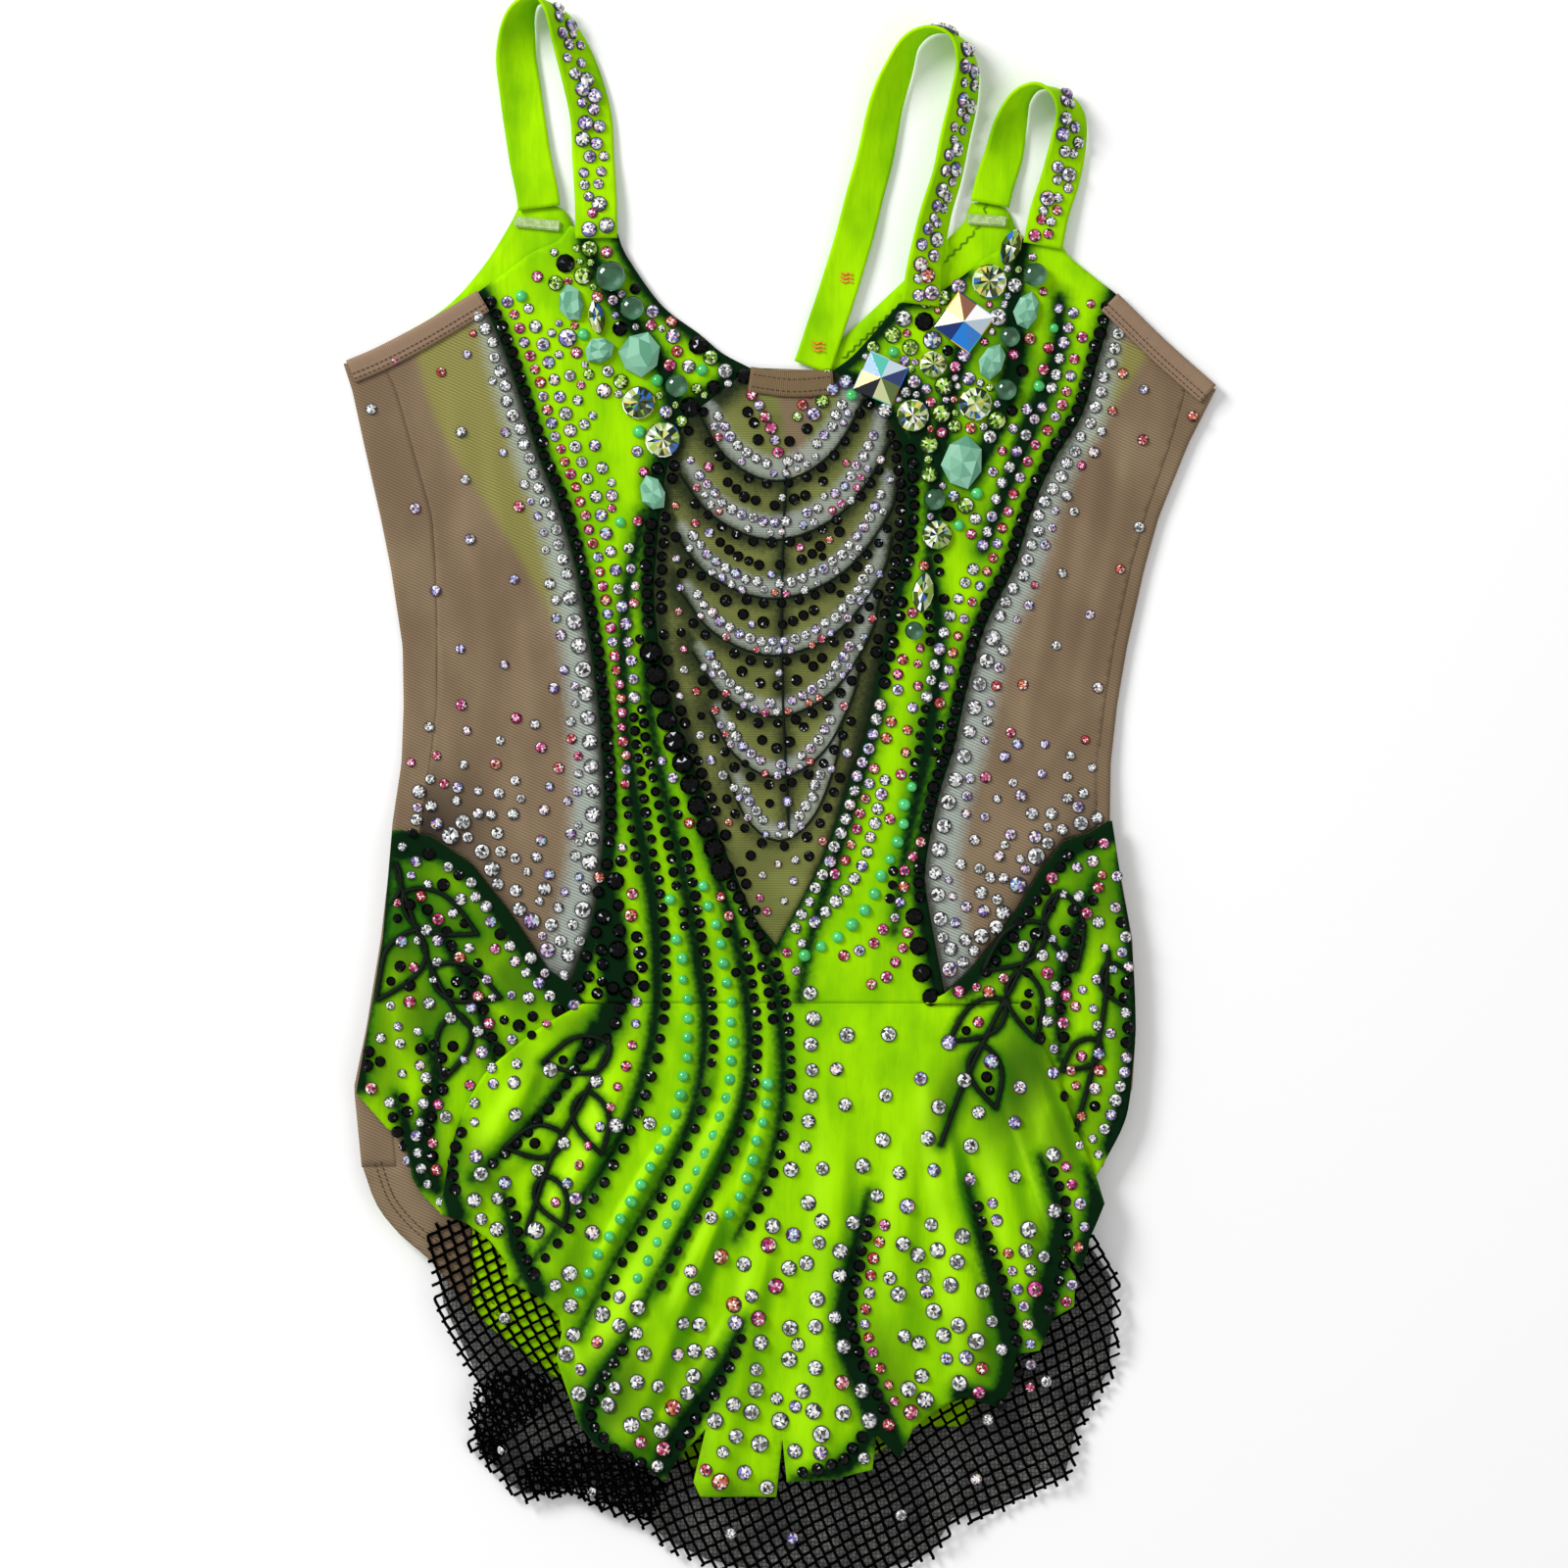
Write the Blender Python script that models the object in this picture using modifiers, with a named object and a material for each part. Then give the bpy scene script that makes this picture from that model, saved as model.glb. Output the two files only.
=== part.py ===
"""A rhythmic gymnastics leotard laid flat on a surface, front side up.

Every piece is cut as a flat outline in plan, in millimetres, and then draped: each layer has a
level, the height of the middle of its wall at a point of the plan. X runs across the garment,
+Y towards the shoulders, +Z up from the surface that it lies on.
"""

import math

import bmesh
import bpy
import numpy as np
from mathutils import Vector

# Driving dimensions, in millimetres
MM = 0.001
ORIGIN_IN_PLAN = (-1.7, -2.6)
CLOTH = 1.2
NET = 1.0
SEAM_GAP = 0.3
LAYER = CLOTH + SEAM_GAP
UNDER_SKIRT_RISE = 2.8
FOLD_RADIUS = 1.2
STRAP_WIDTH = 16.4
ARM_BINDING_WIDTH = 8.5
NECK_BINDING_WIDTH = 9.0

# How far apart the grid lines lie that the flat outlines are divided by
BODY_GRID = 20.0
SKIRT_GRID = 8.0
NET_GRID = 12.0
TULLE_GRID = 40.0
TULLE_SHORT_BY = 4.0
SIDE_SECTIONS = 15
SIDE_END_Y = -150.0
SIDE_TOPS = {"left": (165.0, 171.0), "right": (155.0, 163.0)}

COLOURS = {
    "velvet": ((0.38, 0.78, 0.01, 1.0), 0.85),
    "powernet": ((0.30, 0.20, 0.14, 1.0), 0.80),
    "sheer": ((0.17, 0.20, 0.07, 1.0), 0.75),
    "elastic": ((0.33, 0.22, 0.16, 1.0), 0.85),
    "fishnet": ((0.012, 0.012, 0.014, 1.0), 0.70),
    "tulle": ((0.06, 0.06, 0.065, 1.0), 0.80),
    "crystal": ((0.80, 0.82, 0.90, 1.0), 0.05),
    "opal": ((0.22, 0.55, 0.38, 1.0), 0.25),
    "bead": ((0.10, 0.30, 0.10, 1.0), 0.10),
}

# The body's folded sides and the side seams, which lie just in front of the folds
BODY_COLUMNS = ("y", "left_fold", "left_seam", "right_seam", "right_fold")
BODY_ROWS = (
    (170, -174.0, -160.0, 162.0, 173.0),
    (155, -169.0, -152.5, 158.0, 169.0),
    (134, -164.4, -146.5, 152.0, 158.3),
    (105, -157.8, -138.3, 142.0, 146.6),
    (85, -153.8, -136.8, 136.3, 141.0),
    (54, -149.1, -136.0, 129.6, 134.1),
    (31, -148.7, -136.0, 126.0, 130.2),
    (8, -149.5, -139.0, 123.2, 127.6),
    (-15, -152.9, -142.5, 122.8, 127.2),
    (-38, -154.8, -144.0, 127.2, 131.8),
    (-61, -157.5, -146.0, 131.4, 136.0),
    (-96, -163.2, -151.0, 133.0, 137.4),
    (-119, -168.0, -155.0, 131.4, 136.0),
    (-150, -165.0, -152.0, 120.0, 124.4),
    (-165, -160.0, -147.0, 112.0, 116.4),
)

# The seams on the front, each from its top end down
LEFT_PRINCESS = ((-120, 193), (-109.5, 169), (-96.4, 129), (-88, 107), (-81.8, 85), (-78, 65),
                 (-74.5, 43), (-71.7, 15), (-70.7, -18), (-74.5, -50), (-80.7, -69), (-84, -78))
RIGHT_PRINCESS = ((130.6, 192), (122.9, 165), (117, 145), (106, 127), (97.6, 108), (90.3, 85),
                  (79.1, 62), (71.8, 37), (66.9, 15), (60.7, -5), (55.5, -32), (56.5, -47), (63, -82))
INSET_LEFT = ((-13.4, 163.3), (-25, 153.7), (-38.4, 142), (-46.1, 123), (-50, 92), (-50.7, 69),
              (-46.1, 38), (-38.4, 15), (-28.8, -11.5), (-21, -31), (-11.5, -52), (-3, -63))
INSET_RIGHT = ((19.2, 162.2), (30.7, 153.7), (44.2, 138), (48, 115), (46.9, 92), (42.3, 69),
               (36.5, 42), (32.7, 23), (25, 0), (17.3, -23), (9.6, -40), (-3, -63))
CENTRE_SEAM = ((-3, -63), (0, -74), (2, -86))
LEFT_NECKLINE = ((-65.3, 216), (-61.9, 207.5), (-51.5, 192), (-44.2, 184.4), (-33.4, 176.7),
                 (-24.2, 169), (-13.4, 163.3))
RIGHT_NECKLINE = ((19.2, 162.2), (27, 168), (38, 180), (47, 189.5), (60, 192.5), (71, 200),
                  (80, 207), (94, 214))
LEFT_ARM_VELVET = ((-120, 193), (-109, 201), (-99, 208.5), (-89, 213), (-84, 219))
RIGHT_ARM_VELVET = ((108, 215), (111, 208), (120.3, 200), (130.6, 192))
LEFT_ARMHOLE = ((-171.5, 165.5), (-160, 170.5), (-143, 179.4), (-120, 193))
RIGHT_ARMHOLE = ((130.6, 192), (138.3, 184.4), (150, 173), (169, 156))

# Where the skirt is sewn to the body, from the left fold to the right fold
SKIRT_LINE = ((-180, -19), (-149.8, -18), (-138.3, -20.4), (-122.9, -30.7), (-115.3, -40.3),
              (-107.6, -50), (-99.9, -61.5), (-92.2, -73), (-84, -78), (-78, -86), (2, -86),
              (55, -86), (63, -82), (73, -73), (82.6, -61.5), (92.2, -48), (99.9, -34.6),
              (109.5, -22.3), (119.1, -19.2), (126.8, -14.5), (180, -13))
SKIRT_SEAM_Y = -86

# The legs and crotch of the brief, and the back's seams, neckline and two shoulders
LEFT_LEG = ((-165, -150), (-159.4, -165), (-150.2, -176.7), (-138.3, -187), (-126, -202),
            (-110, -217), (-88, -233), (-60, -248), (-34, -257))
RIGHT_LEG = ((18, -257), (46, -243), (74, -221), (96, -196), (112, -171), (124.4, -150))
BRIEF_SIDE_SEAM_LEFT = -122
BRIEF_SIDE_SEAM_RIGHT = 92
BACK_SEAMS = {
    "left": ((-148, 176), (-136, 138), (-110, 96), (-90, 60), (-80, 30), (-78, 0), (-86, -40),
             (-106, -80), (-130, -115), (-150, -150)),
    "right": ((146, 171), (126, 140), (100, 100), (84, 60), (74, 30), (74, 0), (80, -40),
              (90, -80), (100, -115), (110, -150)),
}
BACK_TOP = ((-148, 176), (-131, 188.6), (-121, 199.4), (-113.7, 209.4), (-106.4, 221.7), (-104, 227),
            (-86, 225), (-80, 205), (-66, 172), (-46, 146), (-24, 136), (-4, 143), (7.7, 157),
            (19.2, 171), (38, 189), (56, 206), (71, 221), (73.5, 228), (87, 226), (93, 214),
            (108, 198), (126, 184), (146, 171))

# The velvet skirt's torn hem from left to right, with a slit or notch between petals
SKIRT_HEM = (
    (-134.5, -168), (-124.5, -171.4), (-115, -178.7), (-108.7, -187), (-107.6, -194.4), (-95.3, -200.6),
    (-88, -208), (-86.8, -214), (-89.1, -225), (-85.3, -236.3), (-80.7, -249.7), (-73, -259.3),
    (-63.4, -262), (-54.9, -266.6), (-47.3, -272.8), (-41.5, -264.3), (-30.4, -252), (-35.3, -272.8),
    (-32.7, -278.5), (-3, -278.9), (-0.6, -256), (1.2, -273), (20, -271.6), (34.6, -268),
    (36.1, -254), (45, -263.9), (50.3, -252), (63.4, -242.4), (71.8, -239.7), (84.5, -244),
    (89.1, -234.7), (91.1, -222.8), (99.9, -221.3), (104.9, -209), (113.3, -204.4), (114.1, -193),
    (106, -180), (116.4, -190.2), (119.5, -177), (125.2, -164),
)
SKIRT_LEFT_EDGE = ((-79, -86), (-95, -95), (-108, -105), (-119, -116), (-129, -138), (-134.5, -168))
SKIRT_RIGHT_EDGE = ((125.2, -164), (121, -151), (114, -135), (107, -115), (100, -98), (98, -86))
LEFT_HIP_HEM = ((-167.5, -121), (-155.2, -135), (-149.1, -138.3), (-146.8, -147), (-145.6, -154.4),
                (-141.8, -160.6), (-134.5, -168), (-127, -166))
LEFT_HIP_EDGE = ((-127, -166), (-121, -144), (-111, -124), (-98, -108), (-84, -95), (-78, -86))
RIGHT_HIP_EDGE = ((93, -86), (96, -104), (105, -126), (113, -146), (119, -158))
RIGHT_HIP_SIDE = ((119, -158), (127, -145), (134, -130), (136.4, -112), (137.6, -92), (136, -62),
                  (132, -38), (128.5, -15))

NET_HEM = ((-137.9, -171.5), (-140.6, -179), (-139.5, -191), (-136.8, -205.5), (-126, -228.6),
           (-121, -238.6), (-124.5, -250), (-123.3, -262), (-108.7, -278), (-101.4, -282),
           (-83, -279.7), (-70.7, -286), (-56.1, -291), (-48.8, -299), (-31.5, -307.4), (-12, -312),
           (14, -313), (42, -311), (60, -304), (68, -291), (84.1, -287), (106, -275.5),
           (113.3, -272.8), (118.3, -252), (130.6, -231.3), (132.5, -208), (131.4, -192), (122, -178))
NET_TOP = ((122, -178), (108, -162), (80, -136), (46, -118), (2, -110), (-44, -114), (-84, -124),
           (-104, -138), (-115, -154), (-124.5, -170), (-137.9, -171.5))
BACK_SKIRT_HEM = ((-152, -120), (-148, -150), (-134, -160), (-124, -184), (-112, -192), (-110, -208),
                  (-96, -214), (-92, -232), (-76, -238), (-72, -254), (-48, -256), (-36, -268),
                  (-8, -264), (10, -258), (34, -264), (52, -252), (70, -252), (78, -236), (90, -232),
                  (96, -212), (108, -200), (114, -170), (122, -140))
BACK_SKIRT_TOP = ((122, -28), (86, -60), (60, -90), (2, -90), (-80, -90), (-112, -50), (-146, -28))

# Soft ridges: from, to, half width and height
FOLD_COLUMNS = ("from_x", "from_y", "to_x", "to_y", "half_width", "height")
SKIRT_FOLDS = (
    (-92, -100, -128, -168, 6.5, 2.6),
    (-60, -104, -96, -206, 8.0, 3.2),
    (-11, -112, -64, -216, 6.5, 5.0),
    (-18, -150, -60, -250, 7.0, 4.2),
    (-4, -166, -28, -272, 7.5, 3.0),
    (24, -124, 14, -266, 9.0, 3.0),
    (50, -126, 42, -248, 8.0, 4.0),
    (58, -120, 78, -236, 8.0, 4.2),
    (78, -110, 100, -218, 7.0, 4.5),
    (92, -98, 120, -178, 6.5, 4.2),
)
NET_FOLDS = (
    (-134, -238, -64, -279, 6.5, 3.6),
    (-108, -226, -98, -282, 6.5, 2.2),
    (-30, -272, -36, -308, 7.0, 2.6),
    (16, -272, 20, -314, 7.0, 2.2),
    (58, -252, 68, -298, 7.0, 3.0),
    (94, -226, 110, -274, 7.0, 2.6),
    (116, -196, 134, -218, 6.5, 2.6),
)

# Loops of the straps: plan position, height of the lower edge and roll about the strap's own line.
# A roll of 0 shows the right side of the velvet, 90 stands on edge and 180 shows the wrong side.
STRAP_COLUMNS = ("x", "y", "stand", "roll")
STRAPS = {
    "strap_left": (
        (-73.6, 214, 3.0, 0), (-73.8, 229, 2.9, 0), (-74.9, 246, 1.4, 6), (-75.7, 261, 0.7, 14),
        (-79.5, 277, 0.6, 26), (-84.5, 291, 0.6, 44), (-90, 302, 0.6, 68), (-97, 306.6, 0.6, 94),
        (-103, 300, 0.6, 128), (-105, 286, 0.6, 156), (-103.4, 272, 0.6, 170), (-101.5, 258, 0.8, 178),
        (-99.5, 245, 1.4, 180), (-97, 233, 2.2, 180), (-96, 226, 2.2, 180),
    ),
    "strap_centre": (
        (53.4, 188, 3.0, 8), (55.2, 203, 3.0, 24), (59.2, 222.8, 1.2, 38), (63.8, 238.2, 0.7, 42),
        (67, 253.6, 0.6, 42), (70.5, 269, 0.6, 46), (71.5, 282, 0.6, 58), (67, 292, 0.6, 76),
        (58.4, 295, 0.6, 92), (50, 290.5, 0.6, 112), (45, 280, 0.6, 134), (40, 266, 0.6, 150),
        (35.8, 246, 0.7, 160), (31.5, 230, 0.9, 166), (27.7, 215, 1.6, 172), (20.7, 192, 2.1, 180),
        (14.5, 174, 2.1, 180), (13, 169, 2.1, 180),
    ),
    "strap_right": (
        (101.4, 211, 3.0, 0), (104, 224, 2.8, 6), (108.5, 238, 1.4, 14), (111.5, 252, 0.7, 28),
        (112, 262, 0.6, 44), (107.5, 269.5, 0.6, 68), (99.9, 272.8, 0.6, 90), (93, 268.5, 0.6, 116),
        (89, 259, 0.6, 142), (86.3, 247, 0.6, 164), (83.4, 238, 1.2, 176), (81.5, 231, 2.2, 180),
        (80.8, 227.5, 2.2, 180),
    ),
}
STRAP_NARROWING = {"strap_left": 1.0, "strap_centre": 0.9, "strap_right": 0.94}
STRAP_END_COLUMNS = ("x", "y", "turn", "length")
STRAP_ENDS = {"strap_end_left": (-96.8, 219.8, -6, 18.0), "strap_end_right": (79.6, 221.2, -4, 15.5)}

# The largest sewn and glued stones: shape, place, length, width and turn in degrees
STONES = (
    ("square", 70.5, 181, 18, 18, -36),
    ("square", 38, 159, 17, 17, -24),
    ("rivoli", -57, 149.5, 13, 13, 0),
    ("rivoli", -47.5, 135, 14, 14, 8),
    ("rivoli", 50.5, 144.5, 12.5, 12.5, 4),
    ("rivoli", 75, 149, 13, 13, 0),
    ("rivoli", 80.5, 197, 13.5, 13.5, 10),
    ("rivoli", 60, 97.5, 11.5, 11.5, 0),
    ("rivoli", 58.5, 164.5, 10.5, 10.5, 0),
    ("shield", -56.5, 168.5, 18.5, 17.5, 70),
    ("shield", -72.5, 170, 12.5, 11, 20),
    ("shield", -83.5, 188.5, 15.5, 10.5, 100),
    ("shield", -51.5, 114, 15, 10.5, 110),
    ("shield", 95, 185.5, 15.5, 10.5, 75),
    ("shield", 81.5, 165.5, 15.5, 10.5, 65),
    ("shield", 70, 126, 22, 17.5, 80),
    ("bead", -68, 199, 12, 12, 0),
    ("bead", -59.5, 186.5, 9.5, 9.5, 0),
    ("bead", -42, 156, 9, 9, 0),
    ("bead", 98.5, 199.5, 9.5, 9.5, 0),
    ("bead", 88.6, 175.2, 8, 8, 0),
    ("bead", 87, 154.5, 8.5, 8.5, 0),
    ("bead", 59, 111.5, 8.5, 8.5, 0),
    ("bead", 51, 60, 7.5, 7.5, 0),
    ("navette", -73.5, 183, 14, 6.5, 100),
    ("navette", 89, 210.5, 15, 8, 70),
    ("navette", 54.5, 75, 16, 8.5, 82),
)


def clear_scene():
    for obj in list(bpy.data.objects):
        bpy.data.objects.remove(obj)


def table(columns, rows):
    """A table's columns as arrays, by name."""
    return dict(zip(columns, np.array(rows, float).T))


BODY = table(BODY_COLUMNS, BODY_ROWS)


def across(column, y):
    """A body column at height y of the plan."""
    return np.interp(y, BODY["y"][::-1], BODY[column][::-1])


def ramp(t):
    """Rises smoothly from 0 to 1 as t does."""
    t = np.clip(t, 0, 1)
    return t * t * (3 - 2 * t)


def curve(points, step=15.0):
    """A smooth line through the points, with a vertex about every step millimetres."""
    points = [np.array(p, float) for p in points]
    before = [2 * points[0] - points[1], *points, 2 * points[-1] - points[-2]]
    line = []
    for a, b, c, d in zip(before, before[1:], before[2:], before[3:]):
        count = max(1, round(float(np.linalg.norm((c - b)[:2])) / step))
        for t in np.arange(count) / count:
            line.append(0.5 * (2 * b + (c - a) * t + (2 * a - 5 * b + 4 * c - d) * t * t
                               + (3 * b - a - 3 * c + d) * t ** 3))
    return [*line, points[-1]]


def outline(*stretches):
    """One closed outline from stretches that each begin where the last one ends."""
    points = []
    for stretch in stretches:
        for p in stretch:
            if not points or np.hypot(*(np.array(p, float) - points[-1])) > 0.4:
                points.append(np.array(p, float))
    if np.hypot(*(points[0] - points[-1])) < 0.4:
        points.pop()
    xy = np.array(points)
    following = np.roll(xy, -1, axis=0)
    area = np.sum(xy[:, 0] * following[:, 1] - following[:, 0] * xy[:, 1])
    return xy if area > 0 else xy[::-1]


def inset(xy, distance=SEAM_GAP / 2):
    """The outline drawn in by a distance, so that neighbours stand a seam gap apart."""
    into = np.roll(xy, 1, axis=0) - xy
    out = np.roll(xy, -1, axis=0) - xy
    into /= np.linalg.norm(into, axis=1)[:, None]
    out /= np.linalg.norm(out, axis=1)[:, None]
    normal_in = np.stack([into[:, 1], -into[:, 0]], 1)
    normal_out = np.stack([-out[:, 1], out[:, 0]], 1)
    middle = normal_in + normal_out
    share = np.maximum(np.sum(middle * normal_out, axis=1), 0.45)
    return xy + middle / share[:, None] * distance


def depth_inside(xy, x, y):
    """Distance from the outline in millimetres, positive inside it."""
    a, b = xy, np.roll(xy, -1, axis=0)
    p = np.stack([np.ravel(x), np.ravel(y)], 1)[:, None, :]
    along = b - a
    t = np.clip(np.sum((p - a) * along, 2) / np.sum(along * along, 1), 0, 1)
    near = np.min(np.linalg.norm(p - a - t[:, :, None] * along, axis=2), axis=1)
    above = (a[:, 1] > p[:, :, 1]) != (b[:, 1] > p[:, :, 1])
    run = np.where(np.abs(along[:, 1]) < 1e-9, 1e-9, along[:, 1])
    crossing = a[:, 0] + (p[:, :, 1] - a[:, 1]) * along[:, 0] / run
    inside = np.sum(above & (p[:, :, 0] < crossing), axis=1) % 2 == 1
    return np.where(inside, near, -near).reshape(np.shape(x))


def ridges(rows, x, y):
    """Height of the soft folds at a point: each fades in along its line and stays to its end."""
    total = np.zeros(np.shape(x))
    for row in rows:
        x0, y0, x1, y1, half_width, height = row
        dx, dy = x1 - x0, y1 - y0
        length = math.hypot(dx, dy)
        t = ((x - x0) * dx + (y - y0) * dy) / length ** 2
        off = ((x - x0) * dy - (y - y0) * dx) / length
        spread = half_width * (0.6 + 0.6 * np.clip(t, 0, 1.2))
        fade = ramp(t / 0.35 + 0.1) * ramp((1.25 - t) / 0.2)
        total = total + height * fade * np.exp(-((off / spread) ** 2))
    return total


LINE_X, LINE_Y = np.array(SKIRT_LINE, float).T


BRIEF = outline([(-156, -60), (-168, -120)], curve(LEFT_LEG), curve(RIGHT_LEG),
                [(137, -96), (128, -20), (2, -86)])
SKIRT = outline(curve(SKIRT_LEFT_EDGE), SKIRT_HEM, curve(SKIRT_RIGHT_EDGE), [(2, -86)])
BACK_SKIRT = outline(BACK_SKIRT_HEM, BACK_SKIRT_TOP)


def back_level(x, y):
    """The back of the body: on the surface, and over the skirt's back half from the hips down."""
    return CLOTH / 2 + UNDER_SKIRT_RISE * ramp((38 - y) / 70)


def front_level(x, y):
    """The front of the body, which lies on the back and rounds up into the folded sides."""
    from_fold = np.minimum(x - across("left_fold", y), across("right_fold", y) - x)
    side = (2 * FOLD_RADIUS - LAYER) * np.exp(-((np.maximum(from_fold, 0) / 9) ** 2))
    return back_level(x, y) + LAYER + side


def back_skirt_level(x, y):
    """The skirt's velvet back half: on the surface, then over the tulle."""
    return CLOTH / 2 + (NET + SEAM_GAP) * ramp((-60 - y) / 50)


def tulle_level(x, y):
    """The tulle lining of the net, flat on the surface."""
    return np.full(np.shape(x), NET / 2)


def smooth_net_level(x, y):
    """The fishnet without folds: over the brief, then down beyond the legs and beyond the back skirt."""
    beyond_skirt = ramp((-depth_inside(BACK_SKIRT, x, y) - 8) / 24)
    lower = back_skirt_level(x, y) + LAYER - CLOTH * beyond_skirt
    beyond = ramp((-depth_inside(BRIEF, x, y) - 10) / 34)
    return lower + (front_level(x, y) + LAYER - lower) * (1 - beyond)


def net_level(x, y):
    """The fishnet, with folds where it shows beyond the velvet's hem."""
    uncovered = ramp((-depth_inside(SKIRT, x, y) - 4) / 10)
    return smooth_net_level(x, y) + ridges(NET_FOLDS, x, y) * uncovered


def hip_level(x, y):
    """The hip pieces, laid over the brief."""
    return front_level(x, y) + LAYER + SEAM_GAP


def skirt_level(x, y):
    """The velvet skirt: close to the body at its seam, then over hip pieces and net with its folds."""
    full = smooth_net_level(x, y) + (NET + CLOTH) / 2 + 3 * SEAM_GAP
    near_ends = np.maximum((-56 - x) / 20, (x - 74) / 20)
    rise = ramp(np.maximum((SKIRT_SEAM_Y - y) / 20, near_ends))
    start = front_level(x, y) + LAYER
    return start + (full - start) * rise + ridges(SKIRT_FOLDS, x, y) * ramp((SKIRT_SEAM_Y - y) / 20)


def on_front_level(x, y):
    """What is laid on the front panels."""
    return front_level(x, y) + LAYER


def material(kind):
    """The finish of one kind of cloth or stone."""
    found = bpy.data.materials.get(kind)
    if found:
        return found
    made = bpy.data.materials.new(kind)
    made.use_nodes = True
    colour, roughness = COLOURS[kind]
    shader = made.node_tree.nodes["Principled BSDF"]
    shader.inputs["Base Color"].default_value = colour
    shader.inputs["Roughness"].default_value = roughness
    shader.inputs["Metallic"].default_value = 0.0
    return made


def new_object(name, bm, kind):
    """Puts a finished bmesh into the part, in metres, about the part's origin."""
    mesh = bpy.data.meshes.new(name)
    for vertex in bm.verts:
        vertex.co = (vertex.co - Vector((*ORIGIN_IN_PLAN, 0))) * MM
    bm.to_mesh(mesh)
    bm.free()
    mesh.materials.append(material(kind))
    obj = bpy.data.objects.new(name, mesh)
    bpy.data.collections["leotard"].objects.link(obj)
    return obj


def thicken(obj, thickness):
    """Gives an open surface its wall, half on each side."""
    wall = obj.modifiers.new("wall", "SOLIDIFY")
    wall.thickness = thickness * MM
    wall.offset = 0.0
    return obj


def cut_cloth(name, xy, grid, level, kind, thickness=CLOTH):
    """Cuts a flat outline, divides it by a grid and drapes it at its level."""
    xy = inset(xy)
    bm = bmesh.new()
    bm.faces.new([bm.verts.new((x, y, 0)) for x, y in xy])
    for axis in (0, 1):
        first = math.ceil(xy[:, axis].min() / grid + 0.2)
        last = math.floor(xy[:, axis].max() / grid - 0.2)
        for number in range(first, last + 1):
            across_axis = Vector((axis == 0, axis == 1, 0))
            bmesh.ops.bisect_plane(bm, geom=[*bm.verts, *bm.edges, *bm.faces], dist=grid * 0.12,
                                   plane_co=across_axis * number * grid, plane_no=across_axis)
    bmesh.ops.triangulate(bm, faces=bm.faces)
    flat = np.array([v.co for v in bm.verts])
    for vertex, z in zip(bm.verts, level(flat[:, 0], flat[:, 1])):
        vertex.co.z = z
    return thicken(new_object(name, bm, kind), thickness)


def loft(name, sections, kind, thickness=CLOTH):
    """A surface through sections with the same number of points, made into a wall."""
    bm = bmesh.new()
    rows = [[bm.verts.new(p) for p in section] for section in sections]
    for upper, lower in zip(rows, rows[1:]):
        for a, b, c, d in zip(upper, upper[1:], lower[1:], lower):
            bm.faces.new((a, b, c, d))
    bmesh.ops.recalc_face_normals(bm, faces=bm.faces)
    return thicken(new_object(name, bm, kind), thickness)


def side_heights(word, part_of_side):
    """The heights in plan of a side's sections, at its fold, its front seam or its back seam."""
    top_fold, top_seam = SIDE_TOPS[word]
    back = BACK_SEAMS[word]
    ends = {"fold": (top_fold, SIDE_END_Y), "front": (top_seam, SIDE_END_Y),
            "back": (back[0][1], back[-1][1])}
    return np.linspace(*ends[part_of_side], SIDE_SECTIONS)


def front_seam(word):
    """The side seam on the front, from the armhole down."""
    heights = side_heights(word, "front")
    return [(float(across(word + "_seam", y)), float(y)) for y in heights]


def back_seam(word):
    """The seam between a side and the back, from the armhole down."""
    line = np.array(curve(BACK_SEAMS[word]))[::-1]
    return [(float(np.interp(y, line[:, 1], line[:, 0])), float(y)) for y in side_heights(word, "back")]


def side_section(fold, front, back, side):
    """One section of a body side: under the garment, round the fold, and up to the side seam."""
    centre = fold[0] - side * FOLD_RADIUS
    points = []
    for t in (0.0, 0.5, 1.0):
        x, y = back[0] + (centre - back[0]) * t, back[1] + (fold[1] - back[1]) * t
        points.append((x, y, float(back_level(x, y))))
    low = points[-1][2]
    for angle in (-45, 0, 45):
        turn = math.radians(angle)
        points.append((centre + side * FOLD_RADIUS * math.cos(turn), fold[1],
                       low + FOLD_RADIUS * (1 + math.sin(turn))))
    for t in (0.0, 0.5, 1.0):
        x, y = centre + (front[0] - centre) * t, fold[1] + (front[1] - fold[1]) * t
        points.append((x, y, float(front_level(x, y))))
    return points


def body_side(word, side):
    """A powernet side piece, folded at the garment's edge, from armhole to leg."""
    sections = []
    for y, front, back in zip(side_heights(word, "fold"), front_seam(word), back_seam(word)):
        fold = (float(across(word + "_fold", y)), float(y))
        front = (front[0] + side * SEAM_GAP / 2, front[1])
        back = (back[0] + side * SEAM_GAP, back[1])
        sections.append(side_section(fold, front, back, side))
    return loft("side_" + word, sections, "powernet")


def seam_stretch(word, top, bottom):
    """A stretch of the front's side seam, from y top to y bottom."""
    seam = front_seam(word)
    low, high = sorted((top, bottom))
    x_at, y_at = np.array(seam[::-1]).T
    ends = [(float(np.interp(y, y_at, x_at)), y) for y in (high, low)]
    points = [ends[0], *[p for p in seam if low < p[1] < high], ends[1]]
    return points if top > bottom else points[::-1]


def line_stretch(x_from, x_to):
    """The points of the skirt line between two places."""
    low, high = sorted((x_from, x_to))
    inner = [p for p in SKIRT_LINE if low < p[0] < high]
    ends = [(x, float(np.interp(x, LINE_X, LINE_Y))) for x in (low, high)]
    points = [ends[0], *inner, ends[1]]
    return points if x_from < x_to else points[::-1]


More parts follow.
